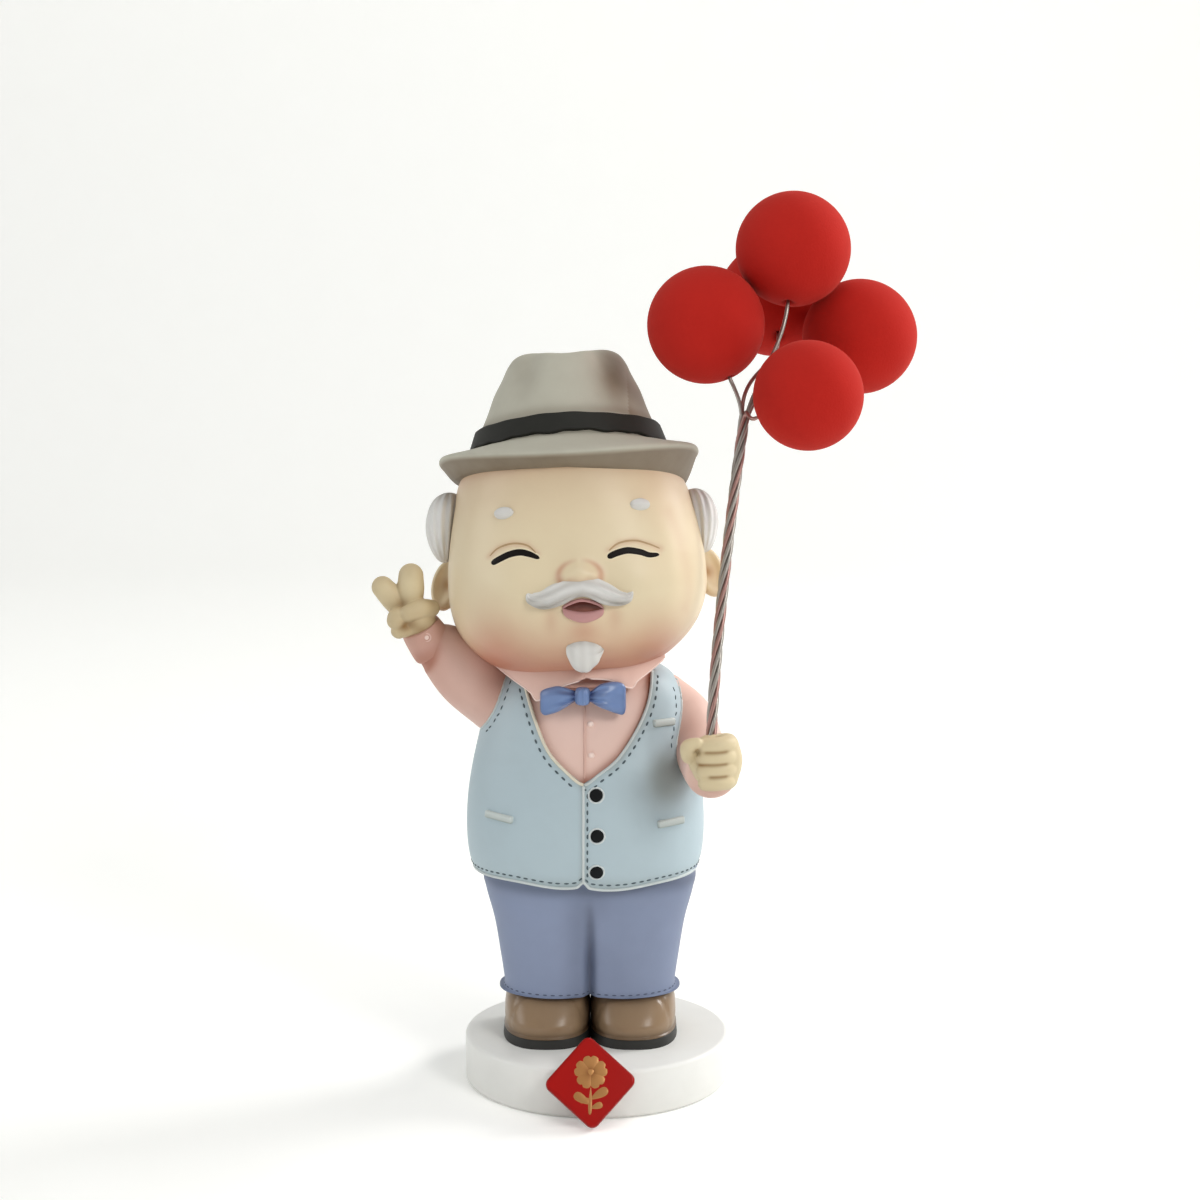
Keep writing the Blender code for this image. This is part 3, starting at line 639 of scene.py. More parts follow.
# Painted shade along the waistcoat's edges, deeper on the right, under the collar and beside the placket.
tone_and_painted_shade(
    shirt,
    lambda p: 0.30 * near(edge_distance(p.x, p.z, NECKLINE), 0.9)
    + 0.45 * near(edge_distance(p.x, p.z, RIGHT_EDGE), 1.1)
    + 0.45 * near(p.z - 78.5, 3.0)
    + 0.25 * near(p.x + 2.1, 0.5),
)
line = front_line([(0.0, -2.15, 76.5), (1.0, -2.2, 61.2)], 50, SHIRT_INSET, 0.02)
tone_and_painted_shade(cord_along("placket_edge", [point for point, _ in line], 0.17, pink_paint), lambda p: 0.3)
pale_pink = paint("pale pink button paint", "#F6DED5", "#C9958A", 0.35)
for i, (x, z) in enumerate(((-1.04, 71.0), (-0.9, 65.5))):
    seat = torso_front(x, z, SHIRT_INSET - 0.15)
    bm = bmesh.new()
    leaned = Matrix.Translation(seat) @ Matrix.Rotation(math.radians(22), 4, "X")
    place = leaned @ Matrix.Diagonal((0.6, 0.36, 0.6, 1))
    bmesh.ops.create_uvsphere(bm, u_segments=24, v_segments=14, radius=1.0, matrix=place)
    tone_and_painted_shade(piece(f"shirt_button_{i}", bm, pale_pink), lambda p: 0.0)

COLLAR_X = -3.4
NECK_SQUARENESS = 2.3
COLLAR = {
    # side: share along the flap, upper edge (x, z), lower edge (x, z)
    -1: [
        (0, -1.6, 81.6, -1.9, 79.9), (0.15, -5.0, 82.1, -6.2, 78.4), (0.35, -8.6, 83.0, -10.7, 75.5),
        (0.44, -10.7, 83.4, -12.0, 76.9), (0.7, -15.0, 84.0, -15.8, 79.1), (1, -18.8, 84.6, -19.4, 81.2),
    ],
    1: [
        (0, -2.6, 81.6, -2.3, 80.0), (0.15, 1.3, 82.1, 2.0, 79.5), (0.38, 4.9, 82.9, 6.3, 77.5),
        (0.48, 6.5, 83.2, 7.4, 78.6), (0.75, 9.6, 84.0, 10.3, 80.4), (1, 12.1, 84.6, 12.7, 82.0),
    ],
}
for side, rows in COLLAR.items():

    def flap_rule(turn, share):
        upper_x, upper_z, lower_x, lower_z = smooth(rows, share)
        across = 0.5 - 0.5 * math.cos(2 * math.pi * turn)
        x = upper_x + (lower_x - upper_x) * across
        z = upper_z + (lower_z - upper_z) * across
        y = -15.4 + 0.040 * (x - COLLAR_X) ** 2 - 0.9 * across
        thick = 0.55 * math.sin(2 * math.pi * turn) * (0 if share in (0.0, 1.0) else 1)
        return Vector((x, y - thick, z))

    flap = piece(f"collar_{side}", wrapped(flap_rule, 48, 80), pink_paint)
    # Painted shade on the flaps, deepest at their tops under the jaw and toward the collar's middle.
    tone_and_painted_shade(flap, lambda p: 0.18 + 0.40 * near(p.z - 83.4, 2.4) + 0.12 * near(p.x - COLLAR_X, 3.0))
    edge = [flap_rule(0.5, 0.03 + 0.94 * step / 60) for step in range(61)]
    tone_and_painted_shade(cord_along(f"collar_edge_{side}", edge, 0.2, pale_pink), lambda p: 0.1)


def neck_rule(turn, share):
    table = [
        (0, 77.0, 0, 0, 0), (0.05, 77.0, 11.0, 10.4, 11.0), (0.3, 79.5, 13.4, 11.6, 11.6),
        (0.9, 84.0, 15.2, 13.2, 13.5), (1, 84.0, 0, 0, 0),
    ]
    z, width, front, back = smooth(table, share)
    x, y = oval(turn, max(width, 0), max(front, 0), max(back, 0), NECK_SQUARENESS)
    return Vector((COLLAR_X + x, y, z))


neck_paint = paint("pink neck paint", "#F2C3B4", "#CC8E7A", 0.5)
neck = piece("collar_stand", wrapped(neck_rule, 120, 40), neck_paint)
# Painted shade on the stand, deepest at its top under the jaw.
tone_and_painted_shade(neck, lambda p: 0.2 + 0.3 * near(p.z - 84.0, 1.5))

# Bow tie: two blue wings that flare and droop from a tight knot, with folds pressed in from the knot and
# glossy brushed paint.
blue_bow = paint("blue bow tie paint", "#728BBA", "#2F4273", 0.28, mottle=0.10, grain=0.06)
KNOT = Vector((-2.5, -16.2, 76.75))
WINGS = {
    # side: share, reach from the knot, upper edge, lower edge, half depth
    -1: [
        (0, 0.0, 0.8, -0.9, 1.0), (0.18, 1.4, 0.94, -1.12, 1.25), (0.38, 2.9, 1.42, -2.06, 1.5),
        (0.57, 4.4, 1.80, -3.0, 1.6), (0.76, 5.9, 1.42, -3.60, 1.45), (0.9, 7.0, 0.95, -3.8, 1.1),
        (0.97, 7.55, 0.5, -3.3, 0.8), (1, 7.7, 0.1, -2.6, 0.0),
    ],
    1: [
        (0, 0.0, 0.8, -0.9, 1.0), (0.16, 1.3, 0.80, -1.12, 1.25), (0.38, 3.1, 2.0, -2.17, 1.5),
        (0.57, 4.6, 2.36, -2.81, 1.6), (0.76, 6.1, 2.38, -3.45, 1.45), (0.9, 7.2, 2.05, -3.75, 1.1),
        (0.97, 7.7, 1.5, -3.3, 0.8), (1, 7.85, 0.9, -2.4, 0.0),
    ],
}
for side, rows in WINGS.items():

    def wing_rule(turn, share):
        out, top, bottom, thick = smooth(rows, share)
        angle = 2 * math.pi * turn
        rise = math.copysign(abs(math.sin(angle)) ** 0.7, math.sin(angle))
        middle, tall = (top + bottom) / 2, (top - bottom) / 2
        folds = math.sin(7.5 * rise + 0.6 * side) + 0.5 * math.sin(13 * rise + 2)
        fold = 0.42 * folds * math.exp(-(((share - 0.32) / 0.30) ** 2)) * abs(math.cos(angle))
        hollow = 0.55 * near(rise + 0.1, 0.5) * near(share - 0.78, 0.22) * (math.cos(angle) < 0)
        y = math.cos(angle) * thick * (1 - 0.25 * rise * rise) - fold * 0.6 + hollow
        return KNOT + Vector((side * out, y + 0.025 * out * out, middle + rise * tall))

    wing = piece(f"bow_wing_{side}", wrapped(wing_rule, 96, 80), blue_bow)
    # Painted shade where each wing meets the knot, along its lower edge and tip, and in its folds.
    tone_and_painted_shade(
        wing,
        lambda p: 0.8 * near(abs(p.x - KNOT.x) - 1.5, 0.7)
        + 0.30 * near(p.z - KNOT.z + 3.6, 0.6)
        + 0.25 * near(abs(p.x - KNOT.x) - 7.8, 0.6)
        + 0.35 * max(0.0, math.sin(3.4 * (p.z - KNOT.z))) * near(abs(p.x - KNOT.x) - 2.8, 1.8),
    )


def knot_rule(turn, share):
    angle = 2 * math.pi * turn
    radius = math.sin(math.pi * share) ** 0.45
    height = -1.6 * math.cos(math.pi * share)
    pleat = 1 + 0.06 * math.cos(9 * angle)
    x = 1.45 * radius * math.cos(angle) * pleat
    y = -0.5 + 1.7 * radius * math.sin(angle) * pleat
    return KNOT + Vector((x, y, height))


knot = piece("bow_knot", wrapped(knot_rule, 72, 30), blue_bow)
# Painted shade at the knot's sides, where the wings meet it.
tone_and_painted_shade(knot, lambda p: 0.45 * near(abs(p.x - KNOT.x) - 1.5, 0.5))


# Arms: pink sleeves with a cuff on the raised wrist. Each sleeve comes out of its armhole as one tapering
# form of the casting. Painted shade darkens the armholes, the seam under the cuff, the raised sleeve's left
# end and its cuff, and the underside of the bent sleeve.
def tube_rule(joints, cap_start=0.4, cap_end=0.4, dome=0.06):
    """The rule of a round limb through joints given as (share, x, y, z, radius), with domed ends."""

    def rule(turn, share):
        at = clamped((share - dome) / (1 - 2 * dome))
        x, y, z, radius = smooth(joints, at)
        here = Vector((x, y, z))
        before, after = smooth(joints, max(at - 0.01, 0)), smooth(joints, min(at + 0.01, 1))
        ahead = (Vector(after[:3]) - Vector(before[:3])).normalized()
        side = ahead.cross(Vector((0, 1, 0.02))).normalized()
        up = side.cross(ahead)
        if share < dome:
            bow = math.pi / 2 * share / dome
            here -= ahead * radius * cap_start * math.cos(bow)
            radius *= math.sin(bow)
        if share > 1 - dome:
            bow = math.pi / 2 * (1 - share) / dome
            here += ahead * radius * cap_end * math.cos(bow)
            radius *= math.sin(bow)
        angle = 2 * math.pi * turn
        return here + (side * math.cos(angle) + up * math.sin(angle)) * radius

    return rule


RAISED = [
    (0.0, -18.0, -1.0, 72.5, 6.1),
    (0.3, -23.6, -3.0, 78.2, 6.4),
    (0.62, -28.2, -4.7, 83.0, 5.2),
    (0.80, -30.8, -5.5, 85.1, 3.9),
    (1.0, -32.5, -6.0, 87.3, 3.4),
]
CUFF = [
    (0.0, -29.75, -5.15, 83.4, 3.9),
    (0.06, -29.9, -5.2, 83.6, 4.2),
    (0.5, -31.2, -5.65, 85.6, 4.05),
    (0.94, -32.4, -6.1, 87.6, 3.75),
    (1.0, -32.5, -6.15, 87.8, 3.5),
]
GRIP = [
    (0.0, 12.9, 0.6, 73.4, 4.4),
    (0.22, 16.9, -1.4, 69.6, 4.9),
    (0.5, 19.2, -8.7, 64.7, 4.75),
    (0.75, 20.3, -15.1, 63.4, 4.8),
    (1.0, 20.6, -21.9, 64.0, 4.75),
]


def dab(point, middle, reach):
    """The soft falloff round a place in space."""
    return near((point - Vector(middle)).length, reach)


raised = piece("raised_sleeve", wrapped(tube_rule(RAISED), 96, 110), pink_paint)
WRIST = Vector((-30.0, -5.2, 83.4))
# Painted shade in the armhole, under the cuff and toward the sleeve's left end.
tone_and_painted_shade(
    raised,
    lambda p: 0.20
    + 0.5 * dab(p, (-18.5, -6, 77.0), 5.0)
    + 0.55 * near((p - WRIST).length - 3.9, 0.7)
    + 0.45 * clamped((-23 - p.x) / 10),
)
cuff = piece("raised_cuff", wrapped(tube_rule(CUFF, 0.05, 0.05), 96, 60), pink_paint)
# Painted shade over the whole cuff, deeper at its seam.
tone_and_painted_shade(cuff, lambda p: 0.62 + 0.3 * near((p - WRIST).length - 3.9, 0.5))
grip = piece("bent_sleeve", wrapped(tube_rule(GRIP, 1.0, 0.4, dome=0.1), 96, 110), pink_paint)
# Painted shade along the underside and in the armhole.
tone_and_painted_shade(grip, lambda p: 0.30 * near(p.z - 60.5, 2.5) + 0.5 * dab(p, (14.5, -9, 68), 4.0))
CUFF_FACE = Vector((-31.0, -9.55, 86.3))
for name, reach, thick in (("cuff_button", 0.0, 0.45), ("cuff_button_ring", 0.72, 0.15)):

    def stud_rule(turn, share):
        angle, around_it = 2 * math.pi * turn, 2 * math.pi * share
        if reach:
            radius = reach + thick * math.cos(around_it)
            height = thick * math.sin(around_it)
        else:
            radius = thick * math.sin(math.pi * share) ** 0.7
            height = -0.30 * math.cos(math.pi * share)
        return CUFF_FACE + Vector((radius * math.cos(angle), -height, radius * math.sin(angle)))

    tone_and_painted_shade(piece(name, wrapped(stud_rule, 36, 14), pale_pink), lambda p: 0.15 + 0.5 * reach)


SHOULDER = 78.6
ARMHOLE_STEPS = 46


def armhole(joints, side):
    """Points and normals where a sleeve leaves the front of the waistcoat, from the shoulder down."""
    line = []
    for step in range(ARMHOLE_STEPS):
        z = SHOULDER - 0.28 * step
        x = TORSO_X + side * 8.0
        while abs(x - TORSO_X) < 21.5:
            here = torso_front(x, z)
            middles = (smooth(joints, i / 24) for i in range(25))
            if min((here - Vector(row[:3])).length - row[3] for row in middles) < 0.12:
                normal = Vector((here.x - TORSO_X, here.y, 0)).normalized()
                line.append((here + normal * 0.02, normal))
                break
            x += side * 0.12
    return line


for name, joints, side in (("raised", RAISED, -1), ("bent", GRIP, 1)):
    line = armhole(joints, side)
    tone_and_painted_shade(cord_along(f"armhole_{name}", [point for point, _ in line], 0.24, piping_paint), lambda p: 0.3)
    inner = [(torso_front(p.x - side * 1.05, p.z) + n * 0.03, n) for p, n in line]
    tone_and_painted_shade(stitches(f"armhole_stitches_{name}", spaced(inner, 1.6), vest_stitch), lambda p: 0.2)

# Hands: plump fingers and palm in skin paint, sculpted as one soft form, so the fingers melt into the palm.
# The creases between the fingers and the underside of the fist are darkened brown, partly airbrush and
# partly painted shade, and the tips of the two raised fingers carry painted highlights.
skin_paint = paint("skin paint", "#E4D4B3", "#BE7E66", 0.42, mottle=0.04)
hand_paint = paint("hand skin paint", "#DBCBA6", "#94744A", 0.5, mottle=0.05)


def sculpted(name, parts, finish, voxel, rounds):
    """Joins overlapping closed tubes and eggs into one skin with softened creases."""
    bm = bmesh.new()
    for joints in parts:
        part = wrapped(tube_rule(joints, 1.0, 1.0, dome=0.25), 32, 44)
        bmesh.ops.remove_doubles(part, verts=part.verts, dist=0.01)
        bmesh.ops.recalc_face_normals(part, faces=part.faces)
        carrier = bpy.data.meshes.new("part")
        part.to_mesh(carrier)
        part.free()
        bm.from_mesh(carrier)
        bpy.data.meshes.remove(carrier)
    made = piece(name, bm, finish)
    melt = made.modifiers.new("melt", "REMESH")
    melt.mode = "VOXEL"
    melt.voxel_size = voxel * MM
    melt.use_smooth_shade = True
    soften = made.modifiers.new("soften", "SMOOTH")
    soften.factor = 0.5
    soften.iterations = rounds
    settled(made)
    if not made.data.materials:
        made.data.materials.append(finish)
    return made


PALM = Vector((-34.5, -7.0, 90.4))


def from_point(middle, *rows):
    """Tube joints given from a hand's middle as (x, y, z, radius)."""
    x0, y0, z0 = middle
    last = len(rows) - 1
    return [(i / last, x0 + x, y0 + y, z0 + z, radius) for i, (x, y, z, radius) in enumerate(rows)]


open_hand = sculpted(
    "raised_hand",
    [
        from_point(PALM, (2.7, 0.9, -3.4, 2.9), (1.4, 0.3, -0.9, 3.4), (0.6, 0.1, 1.2, 2.7)),
        from_point(PALM, (-1.4, 0.0, 0.6, 1.9), (-2.9, -0.3, 2.9, 2.25), (-4.6, -0.5, 4.9, 2.05)),
        from_point(PALM, (0.4, 0.0, 1.2, 2.1), (0.5, -0.4, 4.4, 2.5), (0.6, -0.5, 7.0, 2.3)),
        from_point(PALM, (0.2, -1.0, -0.4, 1.7), (-1.6, -2.4, -0.4, 1.9), (-2.0, -2.9, -0.9, 1.75)),
        from_point(PALM, (0.4, -0.8, -2.6, 1.5), (-1.1, -1.9, -2.7, 1.65), (-1.6, -2.2, -2.9, 1.5)),
        from_point(PALM, (4.2, 0.0, 0.9, 1.6), (2.5, -1.9, 1.1, 1.8), (0.2, -3.1, 0.4, 1.6)),
    ],
    hand_paint,
    0.16,
    8,
)


PALM_SHADE_AND_HIGHLIGHTS = [
    # place from the palm's middle, reach, strength: painted shade in the creases, painted highlight below
    # zero
    ((-1.0, -1.6, 1.9), 1.3, 0.55),
    ((-0.7, -3.4, -1.9), 1.0, 0.60),
    ((0.8, -3.2, -1.6), 1.2, 0.45),
    ((2.6, -2.2, -3.0), 1.4, 0.5),
    ((3.6, -1.2, 2.9), 1.3, 0.35),
    ((0.7, -2.5, 5.6), 2.2, -0.25),
    ((-4.2, -2.4, 4.4), 1.8, -0.2),
]
tone_and_painted_shade(open_hand, lambda p: 0.30 + sum(much * dab(p - PALM, at, reach) for at, reach, much in PALM_SHADE_AND_HIGHLIGHTS))
FIST = Vector((20.3, -26.0, 66.8))
closed_hand = sculpted(
    "closed_hand",
    [
        from_point(FIST, (1.9, 1.2, 1.4, 3.4), (1.6, 1.6, 0.2, 3.9), (1.2, 1.8, -0.9, 3.6)),
        from_point(FIST, (0.4, 0.4, 1.0, 3.9), (0.0, 0.2, 0.2, 4.1), (0.2, 0.4, -0.9, 3.7)),
        from_point(FIST, (2.6, -1.3, 3.1, 2.3), (3.0, -1.3, 0.4, 2.5), (2.5, -1.3, -2.6, 2.3)),
    ]
    + [
        from_point(
            FIST,
            (3.3 - lift, -0.6, z, 1.45),
            (2.9 - lift, -2.9, z, 1.50),
            (0.9, -3.9, z - 0.1, 1.50),
            (-1.4 + lift, -3.5, z - 0.3, 1.42),
        )
        for z, lift in ((3.75, 0.2), (1.55, 0.0), (-0.65, 0.0), (-2.85, 0.35))
    ]
    + [
        from_point(
            FIST,
            (-3.7, -1.0, 1.5, 1.75),
            (-4.0, -2.6, 2.9, 1.6),
            (-3.6, -3.7, 3.7, 1.3),
            (-2.6, -4.1, 4.2, 1.0),
        ),
    ],
    hand_paint,
    0.16,
    12,
)


# Painted shade under the fist, in the creases between the fingers and beside the thumb.
def fist_shade(p):
    q = p - FIST
    shade = 0.04 + 0.35 * near(q.z + 5.2, 1.2)
    if q.y < -2.5:
        for z, left, right in ((2.65, -0.9, 2.3), (0.45, -2.0, 2.3), (-1.75, -0.1, 2.3)):
            aside = max(left - q.x, 0.0, q.x - right)
            shade += 0.80 * near(q.z - z - 0.05 * (q.x - 1), 0.34) * near(aside, 0.6)
    return shade + 0.7 * dab(q, (-2.6, -4.3, 2.7), 0.8) + 0.3 * dab(q, (-2.7, -4.0, 0.4), 1.4)


tone_and_painted_shade(closed_hand, fist_shade)


# Head: one big smooth egg of skin paint, tilted back and a little to the side, with a button nose, round
# cheeks and an open smile sculpted in. A warm brown, partly airbrush and partly painted shade, darkens the
# jaw, the forehead under the hat as the brim's shadow and the creases; the cheeks carry painted highlights.
HEAD = (
    Matrix.Translation((-3.7, -2.0, 100.0))
    @ Matrix.Rotation(math.radians(-3), 4, "Y")
    @ Matrix.Rotation(math.radians(-16), 4, "X")
)
HEAD_HALF = 23.8
HEAD_FRONT = 22.2
HEAD_BACK = 20.0
HEAD_LENGTH = 41.0
JAW = -22.0
EGG = [
    # share of the height from the jaw, shift, width, front, back
    (0.0, -0.04, 0.12, 0.15, 0.10),
    (0.0146, -0.04, 0.38, 0.50, 0.40),
    (0.0585, -0.04, 0.61, 0.71, 0.56),
    (0.122, -0.035, 0.775, 0.85, 0.70),
    (0.2195, -0.02, 0.915, 0.93, 0.82),
    (0.3415, -0.005, 0.99, 0.975, 0.92),
    (0.4634, 0.0, 1.0, 0.99, 0.97),
    (0.6098, 0.0, 0.975, 1.0, 1.0),
    (0.7561, -0.004, 0.93, 1.0, 1.0),
    (0.9024, -0.025, 0.845, 0.95, 0.95),
    (0.951, -0.03, 0.72, 0.84, 0.84),
    (1.0, 0.0, 0.40, 0.45, 0.45),
]
LEFT_EYE = [(-14.8, -3.1), (-13.0, -2.35), (-11.3, -1.8), (-9.5, -1.65), (-7.8, -2.15), (-6.1, -3.0)]
RIGHT_EYE = [(5.8, -3.45), (7.4, -2.75), (9.4, -2.3), (11.6, -2.6), (13.2, -3.1), (15.0, -2.95)]
LEFT_LID = [(-15.1, -1.65), (-13.4, -0.4), (-10.8, 0.1), (-8.2, -0.5), (-6.6, -2.1)]
RIGHT_LID = [(6.1, -2.2), (8.0, -0.9), (10.8, -0.5), (13.3, -1.1), (15.2, -1.85)]
SIDE_FOLD = [(17.2, 4.9), (18.8, 0.3), (19.9, -5.2), (20.0, -8.7), (19.3, -12.1)]
FACE_X = 0.9
NOSE_X = 0.8
MOUTH = (1.0, -12.1)
JAW_SQUARENESS = 2.35


def squareness(w):
    """The head is a little square at the jaw and rounder under the hat."""
    return JAW_SQUARENESS - 0.25 * clamped((w + 2.0) / 14.0)


def spot(across, up, reach):
    """The soft falloff round a spot, from the distances across and up."""
    return near(math.hypot(across, up), reach)


def cheeks(u, w):
    """The soft forms of the face: round cheeks, and a raised pad round the mouth that ends in a chin."""
    bump = 0.35 * spot(u - NOSE_X, w + 1.6, 3.2)
    for side in (-1, 1):
        bump += 1.15 * spot(u - FACE_X - side * 11.6, (w + 8.2) / 0.9, 5.6)
    return bump + 0.75 * spot((u - FACE_X) / 1.25, w + 12.6, 3.9) + 0.45 * spot(u - FACE_X, w + 18.0, 3.6)


def relief(u, w):
    """How far the face stands out from the plain egg, with the nose, the mouth and the lids."""
    bump = cheeks(u, w)
    bump += 2.5 * math.exp(-(math.hypot((u - NOSE_X) / 2.5, (w + 6.4) / 2.3) ** 2.4))
    for side in (-1, 1):
        bump += 1.0 * math.exp(-(math.hypot(u - NOSE_X - side * 2.7, (w + 6.7) / 0.95) ** 2) / 1.4)
        bump -= 0.22 * spot((u - FACE_X - side * 5.6) / 1.3, (w + 13.6) / 2.2, 1.0)
    across, drop = (u - MOUTH[0]) / 3.4, w - MOUTH[1]
    if abs(across) < 1.6:
        bump -= 1.1 * math.exp(-((across * across + (drop / (1.15 if drop > 0 else 0.95)) ** 2) ** 2))
    for line in (LEFT_LID, RIGHT_LID):
        if abs(w) < 4 and 4 < abs(u) < 17:
            bump -= 0.16 * near(edge_distance(u, w, line), 0.30)
    if 14 < u < 23 and -15 < w < 8:
        bump -= 0.14 * near(edge_distance(u, w, SIDE_FOLD), 1.5)
    return bump


def head_rule(turn, share):
    turn -= 0.6 * math.sin(2 * math.pi * turn) / (2 * math.pi)
    w = JAW + HEAD_LENGTH * share
    shift, width, front, back = smooth(EGG, share)
    if share in (0.0, 1.0):
        return HEAD @ Vector((shift * HEAD_HALF, 0, w))
    u, v = oval(turn, HEAD_HALF * width, HEAD_FRONT * front, HEAD_BACK * back, squareness(w))
    u += shift * HEAD_HALF
    if v < 0 and w < 12:
        v -= relief(u, w) * min(1.0, -v / 9)
    return HEAD @ Vector((u, v, w))


def on_face(u, w, out, bumps=relief):
    """A place on the face, lifted off its surface."""
    shift, width, front, _ = smooth(EGG, (w - JAW) / HEAD_LENGTH)
    reach = min(abs(u - shift * HEAD_HALF) / (HEAD_HALF * width), 0.999)
    v = -HEAD_FRONT * front * (1 - reach ** squareness(w)) ** (1 / squareness(w)) - bumps(u, w)
    # The squares of the head's half sizes give the direction straight out of it.
    normal = Vector((u / 571, v / 493, (w + 2) / 484)).normalized()
    return HEAD @ (Vector((u, v, w)) + normal * out)


head = piece("head", wrapped(head_rule, 260, 220), skin_paint)
to_head = HEAD.inverted()


# Painted shade along the jaw and lower cheeks, in a band under the hat brim as its shadow, on the sides and
# back, in the lids, the side fold and round the nose, under the nose and the lower lip and at the mouth's
# corners; the last two spots lighten the cheeks as painted highlights.
def head_shade(point):
    u, v, w = to_head @ point
    shade = 0.03 + 1.0 * near(w + 24.0, 6.6) + 0.45 * spot(u + 16, w + 17, 6.0)
    shade += 0.34 * near(w - 14.6, 2.4) + 0.12 * near(w - 10.0, 5.0) + 0.30 * spot(u - 15, w + 18, 5.0)
    if v > -5:
        return shade + 0.12
    for lid in (LEFT_LID, RIGHT_LID):
        shade += 0.28 * near(edge_distance(u, w, lid), 0.7)
    shade += 0.12 * near(edge_distance(u, w, SIDE_FOLD), 1.2) * (u > 12)
    shade += 0.35 * spot((u - NOSE_X) / 2.6, w + 8.3, 1.1) + 0.35 * spot((u - FACE_X) / 1.5, w + 15.9, 1.8)
    ring = math.hypot((u - NOSE_X) / 3.75, (w + 6.4) / 2.6)
    shade += 0.60 * near(ring - 1.0, 0.17) * min(1.0, abs(u - NOSE_X) / 3.2) * (w > -8.5)
    for side in (-1, 1):
        shade += 0.22 * spot(u - NOSE_X - side * 1.9, (w + 7.6) / 0.8, 0.8)
        shade += 0.26 * spot((u - FACE_X - side * 5.6) / 1.3, (w + 13.8) / 2.2, 1.0)
    return shade - 0.10 * spot(u + 10, w + 7, 5.0) - 0.10 * spot(u - 12, w + 6, 6.0)


tone_and_painted_shade(head, head_shade)


def stroke(name, rows, finish, ripple=0.0, strands=5, around=40, along=90, bumps=cheeks):
    """A raised lick on the face, through rows of (share, u, w, half width, height)."""

    def rule(turn, share):
        u, w, wide, tall = smooth(rows, share)
        before, after = smooth(rows, max(share - 0.02, 0)), smooth(rows, min(share + 0.02, 1))
        du, dw = after[0] - before[0], after[1] - before[1]
        size = math.hypot(du, dw) or 1.0
        end = min(share, 1 - share) / 0.08
        ends = math.sqrt(max(0.0, 1 - (1 - min(end, 1.0)) ** 2))
        angle = 2 * math.pi * turn
        strand = 1 + ripple * math.cos(strands * angle + 3 * share) * min(1.0, 4 * abs(share - 0.52))
        across = math.cos(angle) * wide * ends * strand
        proud = math.sin(angle) * tall * ends * strand
        return on_face(u - dw / size * across, w + du / size * across, proud, bumps)

    return piece(name, wrapped(rule, around, along), finish)


# Eyes: two smiling black strokes, each brushed over a slightly wider pale stroke, under a fine lid line.
lash_paint = paint("black eye paint", "#15100D", "#0D0907", 0.5, gleam=0.15)
rim_paint = paint("pale eye rim paint", "#EBDDBF", "#C9AE88", 0.5)
lid_paint = paint("brown lid line paint", "#BC9F78", "#94724C", 0.5)
for name, dots, widths in (
    ("eye_left", LEFT_EYE, (0.58, 0.64, 0.66, 0.66, 0.58, 0.38)),
    ("eye_right", RIGHT_EYE, (0.56, 0.64, 0.66, 0.62, 0.54, 0.34)),
):
    rows = [(i / 5, u, w, widths[i], 0.16) for i, (u, w) in enumerate(dots)]
    tone_and_painted_shade(stroke(name, rows, lash_paint, bumps=relief), lambda p: 0.2)
    rows = [(share, u, w, wide + 0.22, 0.09) for share, u, w, wide, _ in rows]
    tone_and_painted_shade(stroke(f"{name}_rim", rows, rim_paint, bumps=relief), lambda p: 0.1)
for name, line in (("lid_left", LEFT_LID), ("lid_right", RIGHT_LID)):
    rows = [(i / 4, u, w, 0.17 - 0.02 * abs(i - 2), 0.07) for i, (u, w) in enumerate(line)]
    tone_and_painted_shade(stroke(name, rows, lid_paint, around=16, bumps=relief), lambda p: 0.25)

# Mouth: a dark red hollow with a rough tongue in it and a glossy pink lip above and below.
mouth_paint = paint("dark mouth paint", "#9A6254", "#5E2F28", 0.4, mottle=0.35, grain=0.5)
lip_paint = paint("pink lip paint", "#CC9A98", "#9A6663", 0.35)


def mouth_rule(turn, share):
    angle = 2 * math.pi * turn
    size = math.sin(math.pi * share)
    across = math.cos(angle) * size
    tall = 1.25 if math.sin(angle) > 0 else 0.95
    arch = 0.35 * (1 - across * across)
    out = 0.12 if share < 0.5 else -0.5
    return on_face(MOUTH[0] + 3.45 * across, MOUTH[1] - 0.1 + arch + math.sin(angle) * size * tall, out)


mouth = piece("mouth", wrapped(mouth_rule, 60, 30), mouth_paint)
tone_and_painted_shade(mouth, lambda p: 0.95 - 0.9 * near(((to_head @ p).z + 12.5) / 0.5, 1.0))
LIPS = {
    "lower_lip": [
        (0, -2.5, -12.1, 0.25, 0.3), (0.15, -1.6, -13.0, 0.65, 0.55), (0.5, 1.1, -13.75, 0.90, 0.75),
        (0.85, 3.8, -13.2, 0.65, 0.55), (1, 4.7, -12.4, 0.25, 0.3),
    ],
    "upper_lip": [
        (0, -2.6, -12.0, 0.18, 0.25), (0.2, -1.4, -11.3, 0.28, 0.45), (0.5, 0.9, -10.75, 0.30, 0.5),
        (0.8, 3.4, -11.4, 0.28, 0.45), (1, 4.7, -12.3, 0.18, 0.25),
    ],
}
for name, rows in LIPS.items():
    tone_and_painted_shade(stroke(name, rows, lip_paint, around=28), lambda p: 0.25)

